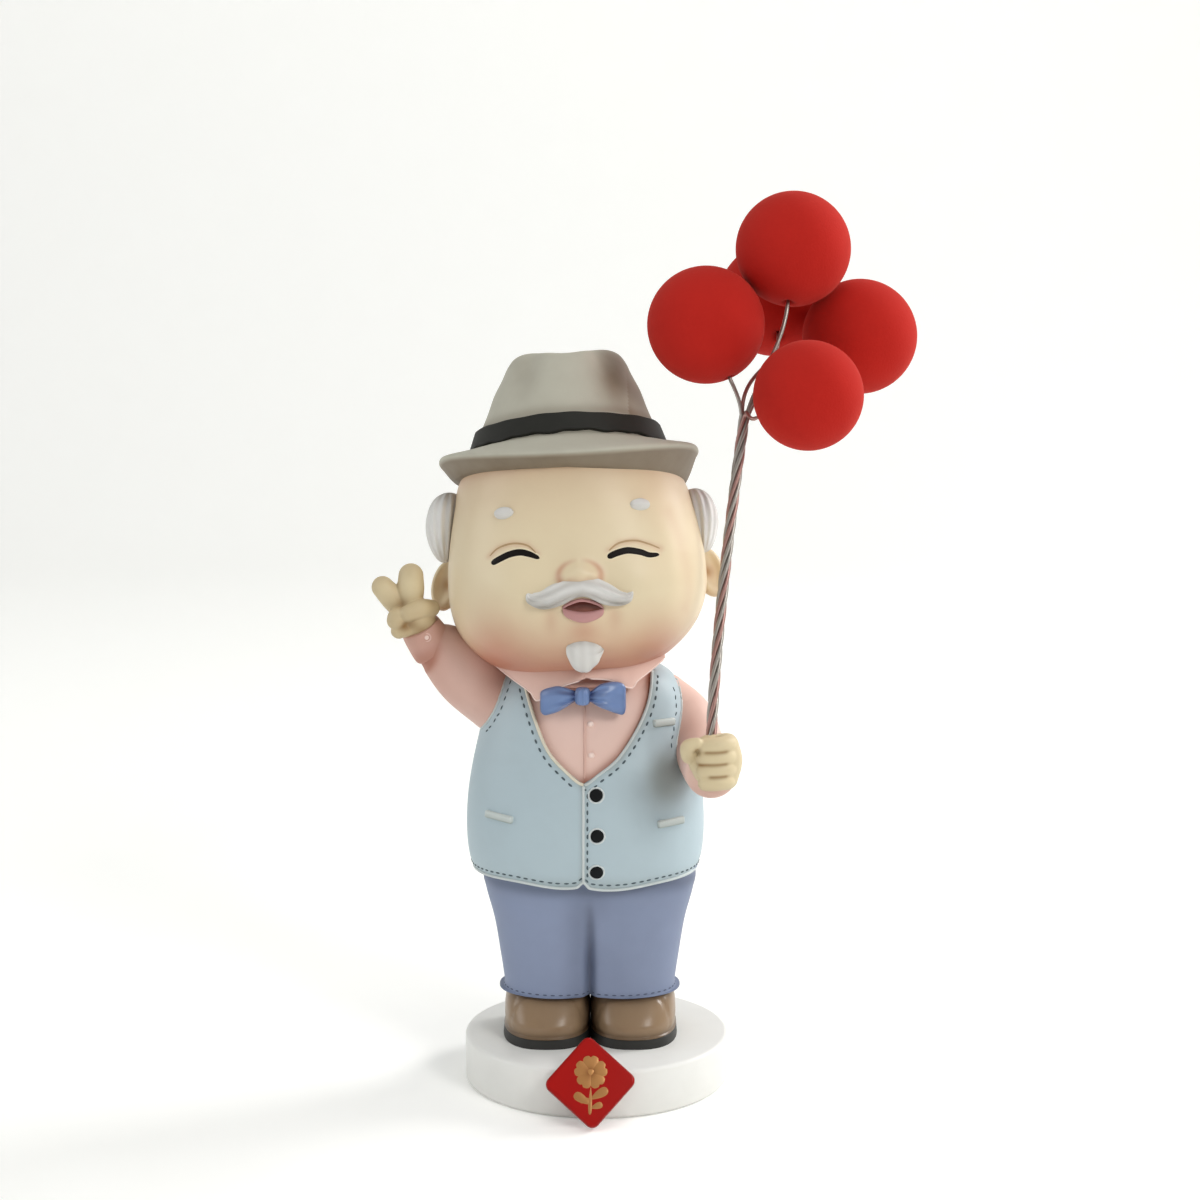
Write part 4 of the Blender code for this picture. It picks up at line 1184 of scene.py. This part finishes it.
# Moustache, goatee and eyebrows: white licks of hair, combed into strands with a modelling tool.
white_hair = paint("white hair paint", "#E4E3E0", "#9D978F", 0.5, mottle=0.07)
rows = [
    (0, -8.7, -9.1, 0.45, 0.5), (0.08, -7.9, -9.95, 0.90, 1.05), (0.20, -5.8, -10.3, 1.45, 1.6),
    (0.34, -3.3, -9.5, 1.90, 2.1), (0.47, -0.5, -8.45, 1.90, 2.2), (0.54, 1.2, -8.2, 1.95, 2.25),
    (0.61, 2.8, -8.55, 1.95, 2.2), (0.73, 5.1, -9.75, 1.85, 2.0), (0.85, 7.3, -10.55, 1.30, 1.6),
    (0.94, 9.0, -10.45, 0.85, 1.05), (1, 10.0, -9.6, 0.40, 0.5),
]
UNDERSIDE = [(-8.0, -11.4), (-4.8, -12.1), (0.6, -10.6), (5.2, -12.2), (9.0, -11.6)]
moustache = stroke("moustache", rows, white_hair, ripple=0.11, strands=9, around=140, along=240)


# Painted shade along the moustache's lower edge, with darker and lighter stripes along the combed strands.
def moustache_shade(p):
    u, _, w = to_head @ p
    comb = math.sin(3.1 * (w + 0.32 * abs(u - 1.2)) + 0.5 * math.sin(u))
    return 0.28 + 0.14 * comb + 0.45 * near(edge_distance(u, w, UNDERSIDE), 0.9)


tone_and_painted_shade(moustache, moustache_shade)
rows = [
    (0, 1.1, -17.7, 1.0, 0.2), (0.14, 1.05, -18.3, 2.6, 0.9), (0.36, 1.0, -19.0, 3.3, 1.8),
    (0.6, 1.1, -19.9, 3.0, 2.5), (0.82, 1.35, -20.8, 2.1, 2.2), (1, 1.6, -21.5, 0.6, 0.8),
]
goatee = stroke("goatee", rows, white_hair, ripple=0.05, strands=6, around=80)
# Painted shade across the goatee's top, under the lower lip, with faint stripes.
tone_and_painted_shade(
    goatee,
    lambda p: 0.18 + 0.30 * near((to_head @ p).z + 17.9, 0.8) + 0.06 * math.sin(3.4 * (to_head @ p).x),
)
for name, u, w, tilt in (("brow_left", -12.1, 5.7, 0.10), ("brow_right", 12.0, 6.0, -0.10)):
    rows = [
        (0, u - 1.75, w - tilt, 0.25, 0.3),
        (0.2, u - 1.2, w - tilt / 2, 0.75, 0.75),
        (0.5, u, w, 1.05, 1.05),
        (0.8, u + 1.2, w + tilt / 2, 0.75, 0.75),
        (1, u + 1.75, w + tilt, 0.25, 0.3),
    ]
    tone_and_painted_shade(stroke(name, rows, white_hair, ripple=0.05, strands=6), lambda p: 0.22)


# Ears: small cupped ears of skin paint low on each side of the head, open to the front, with the cup
# and the lower end darkened orange-brown, partly airbrush and partly painted shade.
ear_paint = paint("ear paint", "#E8D7B6", "#B98A5C", 0.5)
for side, name in ((-1, "ear_left"), (1, "ear_right")):
    middle = Vector((side * 24.5, 3.4, -3.5))
    turned = Matrix.Rotation(math.radians(-14 * side), 4, "Y")

    def ear_rule(turn, share):
        lat, lon = math.pi * (share - 0.5), 2 * math.pi * turn
        x, y = math.cos(lat) * math.sin(lon) * side, -math.cos(lat) * math.cos(lon)
        off = min(lon, 2 * math.pi - lon) if lon < math.pi else lon - 2 * math.pi
        cup = math.exp(-(math.hypot((off - 0.25) / 0.62, (lat - 0.05) / 0.85) ** 3))
        local = Vector((2.75 * x, 2.4 * y * (1 - 0.85 * cup), 4.8 * math.sin(lat)))
        return HEAD @ (middle + turned.to_3x3() @ local)

    ear = piece(name, wrapped(ear_rule, 96, 70), ear_paint)
    pit = HEAD @ (middle + Vector((-0.4 * side, -0.8, 0.0)))
    # Painted shade in the cup and at the lower end.
    tone_and_painted_shade(ear, lambda p: 0.05 + 0.80 * dab(p, pit, 1.3) + 0.3 * near((to_head @ p).z + 8.5, 1.5))

# Hair: combed white tufts over the ears, joined round the back of the head by a fringe, all grooved with a
# modelling tool and painted white over grey. Grey painted shade lies under the hat brim and along the lower
# ends of the tufts and the fringe.
for side, name, u, w, tall, thick in (
    (-1, "hair_left", 24.0, 6.7, 6.5, 3.0),
    (1, "hair_right", 23.3, 5.6, 6.0, 2.7),
):
    middle = Vector((side * u, -1.0, w))
    turned = Matrix.Rotation(math.radians(-9 * side), 4, "Y")

    def tuft_rule(turn, share):
        lat, lon = math.pi * (share - 0.5), 2 * math.pi * turn
        comb = 1 + 0.05 * math.cos(12 * lon + 2.6 * lat * side) * math.cos(lat) ** 0.5
        leaf = math.cos(lat) ** 0.8 * (1 + 0.22 * math.sin(lat)) + 0.02
        x, y = leaf * math.sin(lon), leaf * math.cos(lon)
        bend = 0.9 * side * math.cos(lat) ** 2
        local = Vector((thick * x * comb + bend - 0.5 * side, 4.7 * y * comb, tall * math.sin(lat)))
        return HEAD @ (middle + turned.to_3x3() @ local)

    tuft = piece(name, wrapped(tuft_rule, 180, 90), white_hair)
    # Painted shade at the tops of the tufts under the brim and at their lower ends.
    tone_and_painted_shade(
        tuft,
        lambda p: 0.05 + 0.40 * near((to_head @ p).z - 13.0, 2.2) + 0.25 * near((to_head @ p).z, 1.5),
    )


FRINGE_FOOT = -15.0
FRINGE_HEIGHT = 30.0


def fringe_rule(turn, share):
    w = FRINGE_FOOT + FRINGE_HEIGHT * share
    angle = 2 * math.pi * turn
    _, width, front, back = smooth(EGG, (w - JAW) / HEAD_LENGTH)
    behind = clamped((-math.cos(angle) - 0.16) / 0.30)
    edge = -12.6 + 1.1 * math.sin(9 * angle) + 0.7 * math.sin(23 * angle + 1)
    lower = clamped((w - edge) / 1.6)
    lower = lower * lower * (3 - 2 * lower)
    groove = 0.20 * math.cos(64 * angle + 0.10 * w) + 0.12 * math.cos(41 * angle - 0.16 * w + 1)
    out = -1.2 + (2.3 + groove) * behind * lower
    if share in (0.0, 1.0):
        return HEAD @ Vector((0, 3, w))
    front, back = HEAD_FRONT * front + out, HEAD_BACK * back + out
    u, v = oval(turn, HEAD_HALF * width + out, front, back, JAW_SQUARENESS)
    return HEAD @ Vector((u, v, w))


fringe = piece("hair_back", wrapped(fringe_rule, 420, 90), white_hair)
# Painted shade along the fringe's lower edge and at its top under the hat.
tone_and_painted_shade(
    fringe,
    lambda p: 0.12 + 0.4 * near((to_head @ p).z + 12.5, 1.2) + 0.25 * near((to_head @ p).z - 14.5, 2.0),
)

# Hat: a khaki felt hat with a pinched crown and a curled brim, cast with the head and painted matt. Brown,
# partly airbrush and partly painted shade, darkens the brim's underside, the dents, the right side of the
# crown and the crown next to the band.
CROWN_HALF = 17.5
BRIM_HALF = 24.1
BRIM_RISE = 18.4
HAT_HEIGHT = 19.7
CROWN_X = -0.476
FRONT_DIP = 3.6
BACK_LIFT = 2.2
HAT = [
    # share, half width, front and back as shares of it, height as a share over the brim, brim's curl
    (0.00, 0.0, 1.0, 1.0, -0.198, 0.0),
    (0.05, 0.95 * CROWN_HALF, 1.0, 1.0, -0.198, 0.0),
    (0.11, 1.19 * CROWN_HALF, 1.03, 1.0, -0.178, 0.5),
    (0.20, 0.985 * BRIM_HALF, 1.07, 1.07, -0.020, 0.95),
    (0.22, 1.0 * BRIM_HALF, 1.07, 1.07, 0.012, 1.0),
    (0.24, 0.985 * BRIM_HALF, 1.07, 1.07, 0.040, 1.0),
    (0.32, 1.13 * CROWN_HALF, 1.07, 1.05, 0.061, 0.3),
    (0.37, 1.01 * CROWN_HALF, 1.08, 1.03, 0.085, 0.0),
    (0.44, 0.93 * CROWN_HALF, 1.09, 1.04, 0.272, 0.0),
    (0.51, 0.855 * CROWN_HALF, 1.10, 1.06, 0.437, 0.0),
    (0.58, 0.785 * CROWN_HALF, 1.12, 1.08, 0.614, 0.0),
    (0.65, 0.70 * CROWN_HALF, 1.14, 1.10, 0.766, 0.0),
    (0.72, 0.635 * CROWN_HALF, 1.16, 1.12, 0.893, 0.0),
    (0.78, 0.565 * CROWN_HALF, 1.18, 1.14, 0.970, 0.0),
    (0.85, 0.46 * CROWN_HALF, 1.20, 1.15, 0.998, 0.0),
    (0.92, 0.30 * CROWN_HALF, 1.25, 1.20, 0.960, 0.0),
    (0.97, 0.12 * CROWN_HALF, 1.30, 1.30, 0.920, 0.0),
    (1.00, 0.0, 1.30, 1.30, 0.915, 0.0),
]


def hat_rule(turn, share):
    half, front, back, rise, rim = smooth(HAT, share)
    half = max(half, 0.0) if 0 < share < 1 else 0.0
    across, ahead = math.sin(2 * math.pi * turn), math.cos(2 * math.pi * turn)
    w = BRIM_RISE + rise * HAT_HEIGHT
    w += rim * (-FRONT_DIP * max(ahead, 0) ** 2 + BACK_LIFT * max(-ahead, 0) ** 2)
    if share < 0.2:
        w -= 0.11 * max(half * across, 0) * min((0.2 - share) / 0.08, 1.0)
    lift = max(0.0, (rise - 0.28) / 0.72)
    w -= 1.8 * lift**3 * near(across * half, 0.34 * CROWN_HALF)
    pinch = 1.0
    if ahead > 0:
        pinch -= 0.14 * lift * near(abs(across) - 0.62, 0.22)
    depth = front if ahead > 0 else back
    u = CROWN_X + 0.5 * lift + half * across * pinch
    return HEAD @ Vector((u, -half * depth * ahead * pinch, w))


felt = paint("khaki felt paint", "#C1BFB0", "#6E5B46", 0.62, mottle=0.08, grain=0.3)
hat = piece("hat", wrapped(hat_rule, 240, 220), felt)


# Painted shade: the brim's underside, beside the band, the top dent, the dents of the pinch, deepest on the
# right, and the crown's right side.
def hat_shade(point):
    u, v, w = to_head @ point
    reach = math.hypot(u, v)
    dip = (-FRONT_DIP * max(-v, 0) ** 2 + BACK_LIFT * max(v, 0) ** 2) / max(reach, 1) ** 2
    shade = 0.10
    if reach > 19.0 and w < 21:
        shade += 0.70 * clamped((BRIM_RISE + 0.2 + dip - w) / 0.7)
    shade += 0.30 * near(w - 24.2, 1.2) * (reach < 19) + 0.20 * near(w - 20.0, 0.7) * (reach < 21)
    shade += 0.45 * near(w - 35.6, 1.0) * near(reach, 7.0)
    if v < 2 and w > 24:
        shade += 0.74 * spot((u - 8.4 + 0.1 * (w - 32)) / 2.8, (w - 31.5) / 6.5, 1.0)
        shade += 0.18 * spot((u + 7.5) / 2.5, (w - 33.0) / 4.5, 1.0)
    return shade + 0.25 * near(reach - 16, 3) * (u > 11) * (w > 23)


tone_and_painted_shade(hat, hat_shade)

# Hat band: a ribbon around the foot of the crown, painted black by hand, so its lower edge wanders.
band_paint = paint("black band paint", "#2E2E2A", "#191917", 0.6, mottle=0.2, gleam=0.2)
BAND_FOOT = 19.75
BAND_TOP = 23.75


def band_rule(turn, share):
    angle = 2 * math.pi * turn
    lower = BAND_FOOT + 0.22 * math.sin(3 * angle + 1) + 0.16 * math.sin(11 * angle)
    lower += 0.13 * math.sin(23 * angle + 2)
    upper = BAND_TOP + 0.10 * math.sin(5 * angle + 2) + 0.05 * math.sin(17 * angle)
    corners = [(lower, 0.05), (lower + 0.25, 0.75), (upper - 0.2, 0.75), (upper, 0.05)]
    if share < 0.75:
        part = min(int(share * 4), 2)
        s = share * 4 - part
        (w, out), (high_w, high_out) = corners[part], corners[part + 1]
        w, out = w + (high_w - w) * s, out + (high_out - out) * s
    else:
        s = share * 4 - 3
        w, out = upper + (lower - upper) * s, 0.05 - 1.2 * math.sin(math.pi * s)
    half = CROWN_HALF * (1.02 - 0.075 * (w - 20.0) / 3.8) + out
    across, ahead = math.sin(angle), math.cos(angle)
    depth = 1.075 if ahead > 0 else 1.035
    return HEAD @ Vector((CROWN_X + half * across, -half * depth * ahead, w))


band = piece("hat_band", wrapped(band_rule, 260, 40), band_paint)
tone_and_painted_shade(band, lambda p: 0.3)

# Tile: a rounded square of glossy red enamel standing on a corner, with a gold plum blossom raised on it.
TILE_SIDE = 12.2
TILE_THICKNESS = 2.0
TILE_LEAN = math.radians(27)
TILE_ROLL = math.radians(42)
CORNER_ROUND = 0.12 * TILE_SIDE
EDGE_ROUND = 0.22 * TILE_THICKNESS
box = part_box("plaque")
low, high = Vector(box[0]) / MM, Vector(box[1]) / MM
TILE = (
    Matrix.Translation((low + high) / 2)
    @ Matrix.Rotation(-TILE_LEAN, 4, "X")
    @ Matrix.Rotation(TILE_ROLL, 4, "Y")
)
bm = bmesh.new()
bmesh.ops.create_cube(bm, size=1.0, matrix=Matrix.Diagonal((TILE_SIDE, TILE_THICKNESS, TILE_SIDE, 1.0)))
corners = [edge for edge in bm.edges if abs(edge.verts[0].co.y - edge.verts[1].co.y) > 0.1]
bmesh.ops.bevel(bm, geom=corners, offset=CORNER_ROUND, segments=8, affect="EDGES", profile=0.5)
borders = [edge for edge in bm.edges if abs(edge.verts[0].co.y - edge.verts[1].co.y) < 0.01]
bmesh.ops.bevel(bm, geom=borders, offset=EDGE_ROUND, segments=5, affect="EDGES", profile=0.5)
bmesh.ops.transform(bm, matrix=TILE, verts=bm.verts)
enamel = paint("red enamel", "#B01410", "#5E0C0A", 0.28, gleam=0.2, mottle=0.05, grain=0.05)
tile = piece("tile", bm, enamel, "plaque", crease=30)
to_tile = TILE.inverted()


# Painted shade on the back face, a darker rim all round, and three dark worn chips on the left edge.
def tile_shade_and_chips(point):
    x, y, z = to_tile @ point
    edge = near(max(abs(x), abs(z)) - TILE_SIDE / 2, 0.5)
    shade = 0.05 + 0.35 * edge + 0.4 * (y > TILE_THICKNESS / 2 - 0.2)
    for along in (-2.9, 0.2, 3.6):
        shade += 0.9 * spot(x + TILE_SIDE / 2 - 0.2, (z - along) / 1.6, 0.35)
    return shade


tone_and_painted_shade(tile, tile_shade_and_chips)
gold = paint("gold ornament paint", "#C08A52", "#8A5328", 0.38, mottle=0.15)
gold.node_tree.nodes["Principled BSDF"].inputs["Metallic"].default_value = 0.35
UPRIGHT = TILE @ Matrix.Rotation(-TILE_ROLL, 4, "Y")


def relief_leaf(name, x, z, angle, length, width, tall, notch=0.0):
    """A raised leaf or petal on the tile's face, from its foot at (x, z) along an angle."""
    turned = Matrix.Rotation(angle, 3, "Y")

    def rule(turn, share):
        lat = math.pi * share
        across, up = math.cos(2 * math.pi * turn), math.sin(2 * math.pi * turn)
        wide = math.sin(lat) ** 0.8 * width / 2 * (1 - 0.5 * math.cos(lat))
        dent = notch * near(across * wide, 0.25) * max(-math.cos(lat), 0) ** 3
        reach = length * (1 - math.cos(lat)) / 2 - dent
        face = -TILE_THICKNESS / 2 + 0.04 - math.sin(lat) ** 0.6 * tall * up
        flat = turned @ Vector((across * wide, 0, reach))
        return UPRIGHT @ Vector((x + flat.x, face, z + flat.z))

    return piece(name, wrapped(rule, 36, 30), gold, "plaque")


BLOSSOM = Vector((0.1, -1.0, 1.75))
for i in range(5):
    petal = relief_leaf(f"petal_{i + 1}", BLOSSOM.x, BLOSSOM.z, math.radians(72 * i), 3.0, 2.6, 0.18, 0.3)
    tone_and_painted_shade(petal, lambda p: 0.15 + 0.8 * dab(p, UPRIGHT @ BLOSSOM, 1.0))
tone_and_painted_shade(relief_leaf("blossom_eye", BLOSSOM.x, BLOSSOM.z - 0.6, 0.0, 1.2, 1.3, 0.24), lambda p: 0.0)
for name, x, z, angle, length, width in (
    ("stem_low", 0.1, -0.9, 182, 4.9, 0.65),
    ("leaf_left", 0.0, -3.9, -58, 3.4, 1.5),
    ("leaf_right", 0.1, -3.0, 60, 3.5, 1.5),
    ("bud_left", -0.1, -3.0, -100, 1.9, 1.0),
    ("bud_right", 0.1, -4.6, 72, 2.2, 1.1),
):
    tone_and_painted_shade(relief_leaf(name, x, z, math.radians(angle), length, width, 0.16), lambda p: 0.25)

# Balloons: five foam balls, matt red and very finely porous, each pushed onto the end of its own wire.
WIRE_RADIUS = 0.36
STEM_LENGTH = 58.5
STEM_TURNS = 3
STEM_FOOT = Vector((20.30, -25.98, 68.58))
STEM_RADIUS = (2 * WIRE_RADIUS + 0.04) / (2 * math.sin(math.pi / 5))
BALL_RADIUS = 10.5


def stem_middle(share):
    rise = share * STEM_LENGTH
    return STEM_FOOT + Vector((0.107 * STEM_LENGTH * share**1.4, 0.235 * rise, rise))


FORK = stem_middle(1.0)
BALLS = [
    (place, FORK + Vector(offset) * BALL_RADIUS, BALL_RADIUS * size, Vector(entry).normalized())
    for place, offset, size, entry in (
        # place, middle from the fork and radius in ball radii, way out through the hole that the wire enters
        ("front", (1.03, -0.60, 0.38), 0.931, (-1.0, 0.15, -0.45)),
        ("right", (2.10, 1.55, 1.27), 1.01, (-0.85, -0.22, -0.42)),
        ("top", (0.87, 0.98, 2.80), 0.997, (-0.12, -0.40, -1.0)),
        ("back", (0.71, 2.98, 1.88), 1.034, (0.0, -1.0, -0.75)),
        ("left", (-0.65, 0.50, 1.515), 1.012, (0.45, -0.25, -1.0)),
    )
]
foam = paint("red foam", "#BA241C", "#7A0E0B", 0.9, mottle=0.06, grain=0.4, gleam=0.15)
shader = foam.node_tree.nodes["Principled BSDF"]
shader.inputs["Sheen Weight"].default_value = 0.15
shader.inputs["Sheen Roughness"].default_value = 0.5
shader.inputs["Sheen Tint"].default_value = rgb("#E88878")
DIMPLE = 1.1
for place, centre, radius, entry in BALLS:
    bm = bmesh.new()
    stand = Matrix.Translation(centre) @ entry.to_track_quat("Z", "Y").to_matrix().to_4x4()
    bmesh.ops.create_uvsphere(bm, u_segments=96, v_segments=64, radius=radius - 0.02, matrix=stand)
    for vert in bm.verts:
        aside = (vert.co - centre).cross(entry).length
        if (vert.co - centre).dot(entry) > 0:
            vert.co -= entry * (DIMPLE * near(aside, 0.75))
    ball = piece(f"foam_ball_{place}", bm, foam, f"balloon_{place}")
    # Painted shade in the dimple round the hole where the wire enters.
    tone_and_painted_shade(ball, lambda p: 0.06 + 0.9 * dab(p, centre + entry * radius, 1.1))


# Wires: five soft craft wires, three silver and two copper-pink, twisted into one stem that rises from the
# fist and forks to the balloons.
def metal(name, colour, roughness):
    """Drawn craft wire: bare metal with a fine grain."""
    made = paint(name, colour, colour, roughness, mottle=0.0, grain=0.35)
    made.node_tree.nodes["Principled BSDF"].inputs["Metallic"].default_value = 0.9
    return made


silver = metal("silver wire", "#A9A39C", 0.38)
copper = metal("copper-pink wire", "#AC8780", 0.4)
STEM_STEPS = 114
BRANCH_STEPS = 30
FIRST_STRAND = 93.4
PUSHED_IN = 3.3
for i, (place, centre, radius, entry) in enumerate(BALLS):
    points = []
    for step in range(STEM_STEPS + 1):
        share = step / STEM_STEPS
        middle = stem_middle(share)
        axis = (stem_middle(share + 0.01) - stem_middle(max(share - 0.01, 0))).normalized()
        side = axis.cross(Vector((0, 1, 0))).normalized()
        angle = math.radians(FIRST_STRAND + 72 * i) + 2 * math.pi * STEM_TURNS * share
        points.append(middle + (side * math.cos(angle) + axis.cross(side) * math.sin(angle)) * STEM_RADIUS)
    start = points[-1]
    leave = (axis + (start - middle).normalized() * 0.25).normalized()
    hole = centre + entry * (radius + 0.4)
    reach = (hole - start).length
    for step in range(1, BRANCH_STEPS + 1):
        t = step / BRANCH_STEPS
        points.append(
            start * (1 - t) ** 3
            + (start + leave * reach * 0.34) * 3 * t * (1 - t) ** 2
            + (hole + entry * reach * 0.35) * 3 * t**2 * (1 - t)
            + hole * t**3
        )
    points.append(centre + entry * (radius - PUSHED_IN))
    drawn = copper if place in ("front", "back") else silver
    wire = cord_along(f"strand_{place}", points, WIRE_RADIUS, drawn, sides=14)
    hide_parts(f"wire_{place}")
    tone_and_painted_shade(wire, lambda p: 0.3)

# Photo table: a seamless sheet of white paper, flat under the figurine and curved up behind it. Its sizes
# are in metres.
SWEEP_HALF_WIDTH = 2.5
SWEEP_LENGTH = 2.6
SWEEP_FRONT = -0.9
FLAT_LENGTH = 1.6
BEND_LENGTH = 0.5
BEND_RADIUS = 0.32
bm = bmesh.new()
bmesh.ops.create_grid(bm, x_segments=2, y_segments=120, size=1.0)
for vert in bm.verts:
    run = (vert.co.y + 1) / 2 * SWEEP_LENGTH
    bend = clamped((run - FLAT_LENGTH) / BEND_LENGTH) * math.pi / 2
    y, z = SWEEP_FRONT + min(run, FLAT_LENGTH), 0.0
    if run > FLAT_LENGTH:
        y += BEND_RADIUS * math.sin(bend)
        z = BEND_RADIUS * (1 - math.cos(bend)) + max(run - FLAT_LENGTH - BEND_LENGTH, 0.0) * 2
    vert.co = (vert.co.x * SWEEP_HALF_WIDTH, y, z)
bmesh.ops.recalc_face_normals(bm, faces=bm.faces)
mesh = bpy.data.meshes.new("photo_sweep")
bm.to_mesh(mesh)
bm.free()
mesh.shade_smooth()
sweep = bpy.data.objects.new("photo_sweep", mesh)
scene.collection.objects.link(sweep)
card = bpy.data.materials.new("white paper sweep")
card.use_nodes = True
tree = card.node_tree
shader = tree.nodes["Principled BSDF"]
shader.inputs["Roughness"].default_value = 0.9
place = add_node(tree, "ShaderNodeTexCoord").outputs["Object"]
fibre = add_node(tree, "ShaderNodeTexNoise", [("Vector", place)], Scale=60.0, Detail=4.0)
tone = add_node(tree, "ShaderNodeMix", [("Factor", fibre.outputs["Fac"])], data_type="RGBA")
tone.inputs[6].default_value = rgb("#F7F7F4")
tone.inputs[7].default_value = rgb("#FAFAF8")
tree.links.new(tone.outputs[2], shader.inputs["Base Color"])
rays = add_node(tree, "ShaderNodeLightPath").outputs
seen = rays["Is Camera Ray"]
for kind in ("Is Glossy Ray", "Is Transmission Ray"):
    seen = add_node(tree, "ShaderNodeMath", [(0, seen)], operation="ADD")
    tree.links.new(rays[kind], seen.inputs[1])
    seen = seen.outputs[0]
glow = add_node(tree, "ShaderNodeMath", [(0, seen)], operation="MULTIPLY")
glow.inputs[1].default_value = 0.2
shader.inputs["Emission Color"].default_value = rgb("#FDFEFB")
tree.links.new(glow.outputs[0], shader.inputs["Emission Strength"])
mesh.materials.append(card)

# Studio lights: a big soft window in front on the right, with weaker square cards behind it, on the left
# and overhead, all facing the figure's waistcoat, in white surroundings.
AIM = Vector((0.0, 0.0, 0.08))
for name, place, size, power, colour in (
    ("key_window", (0.54, -0.70, 0.60), 0.28, 3.3, (1.0, 0.99, 0.97)),
    ("right_card", (0.74, 0.34, 0.50), 0.32, 4.6, (1.0, 0.995, 0.985)),
    ("left_card", (-0.95, -0.10, 0.36), 0.45, 2.0, (0.98, 0.99, 1.0)),
    ("top_card", (0.12, -0.10, 0.95), 0.4, 1.2, (1.0, 0.995, 0.985)),
):
    light = bpy.data.lights.new(name, "AREA")
    light.shape = "SQUARE"
    light.size = size
    light.energy = power
    light.color = colour
    made = bpy.data.objects.new(name, light)
    made.location = place
    made.rotation_euler = (AIM - Vector(place)).to_track_quat("-Z", "Y").to_euler()
    scene.collection.objects.link(made)
world = bpy.data.worlds.new("studio")
scene.world = world
world.use_nodes = True
air = world.node_tree.nodes["Background"]
air.inputs["Strength"].default_value = 0.405
air.inputs["Color"].default_value = (0.98, 0.985, 0.975, 1.0)
scene.view_settings.view_transform = "Standard"

# Camera: stands in front, a little higher than the figure's hat, and looks slightly down. The focal length
# is taken in pixels of the square photo.
FOCAL_PIXELS = 2445.5
PHOTO_PIXELS = 1200
SENSOR_WIDTH = 36
LOOKING_DOWN = 8.71
camera = bpy.data.cameras.new("camera")
camera.lens = FOCAL_PIXELS * SENSOR_WIDTH / PHOTO_PIXELS
camera.sensor_width = SENSOR_WIDTH
camera.clip_start = 0.01
holder = bpy.data.objects.new("camera", camera)
holder.location = (0.00065, -0.450, 0.1607)
holder.rotation_euler = (math.radians(90 - LOOKING_DOWN), 0.0, 0.0)
scene.collection.objects.link(holder)
scene.camera = holder
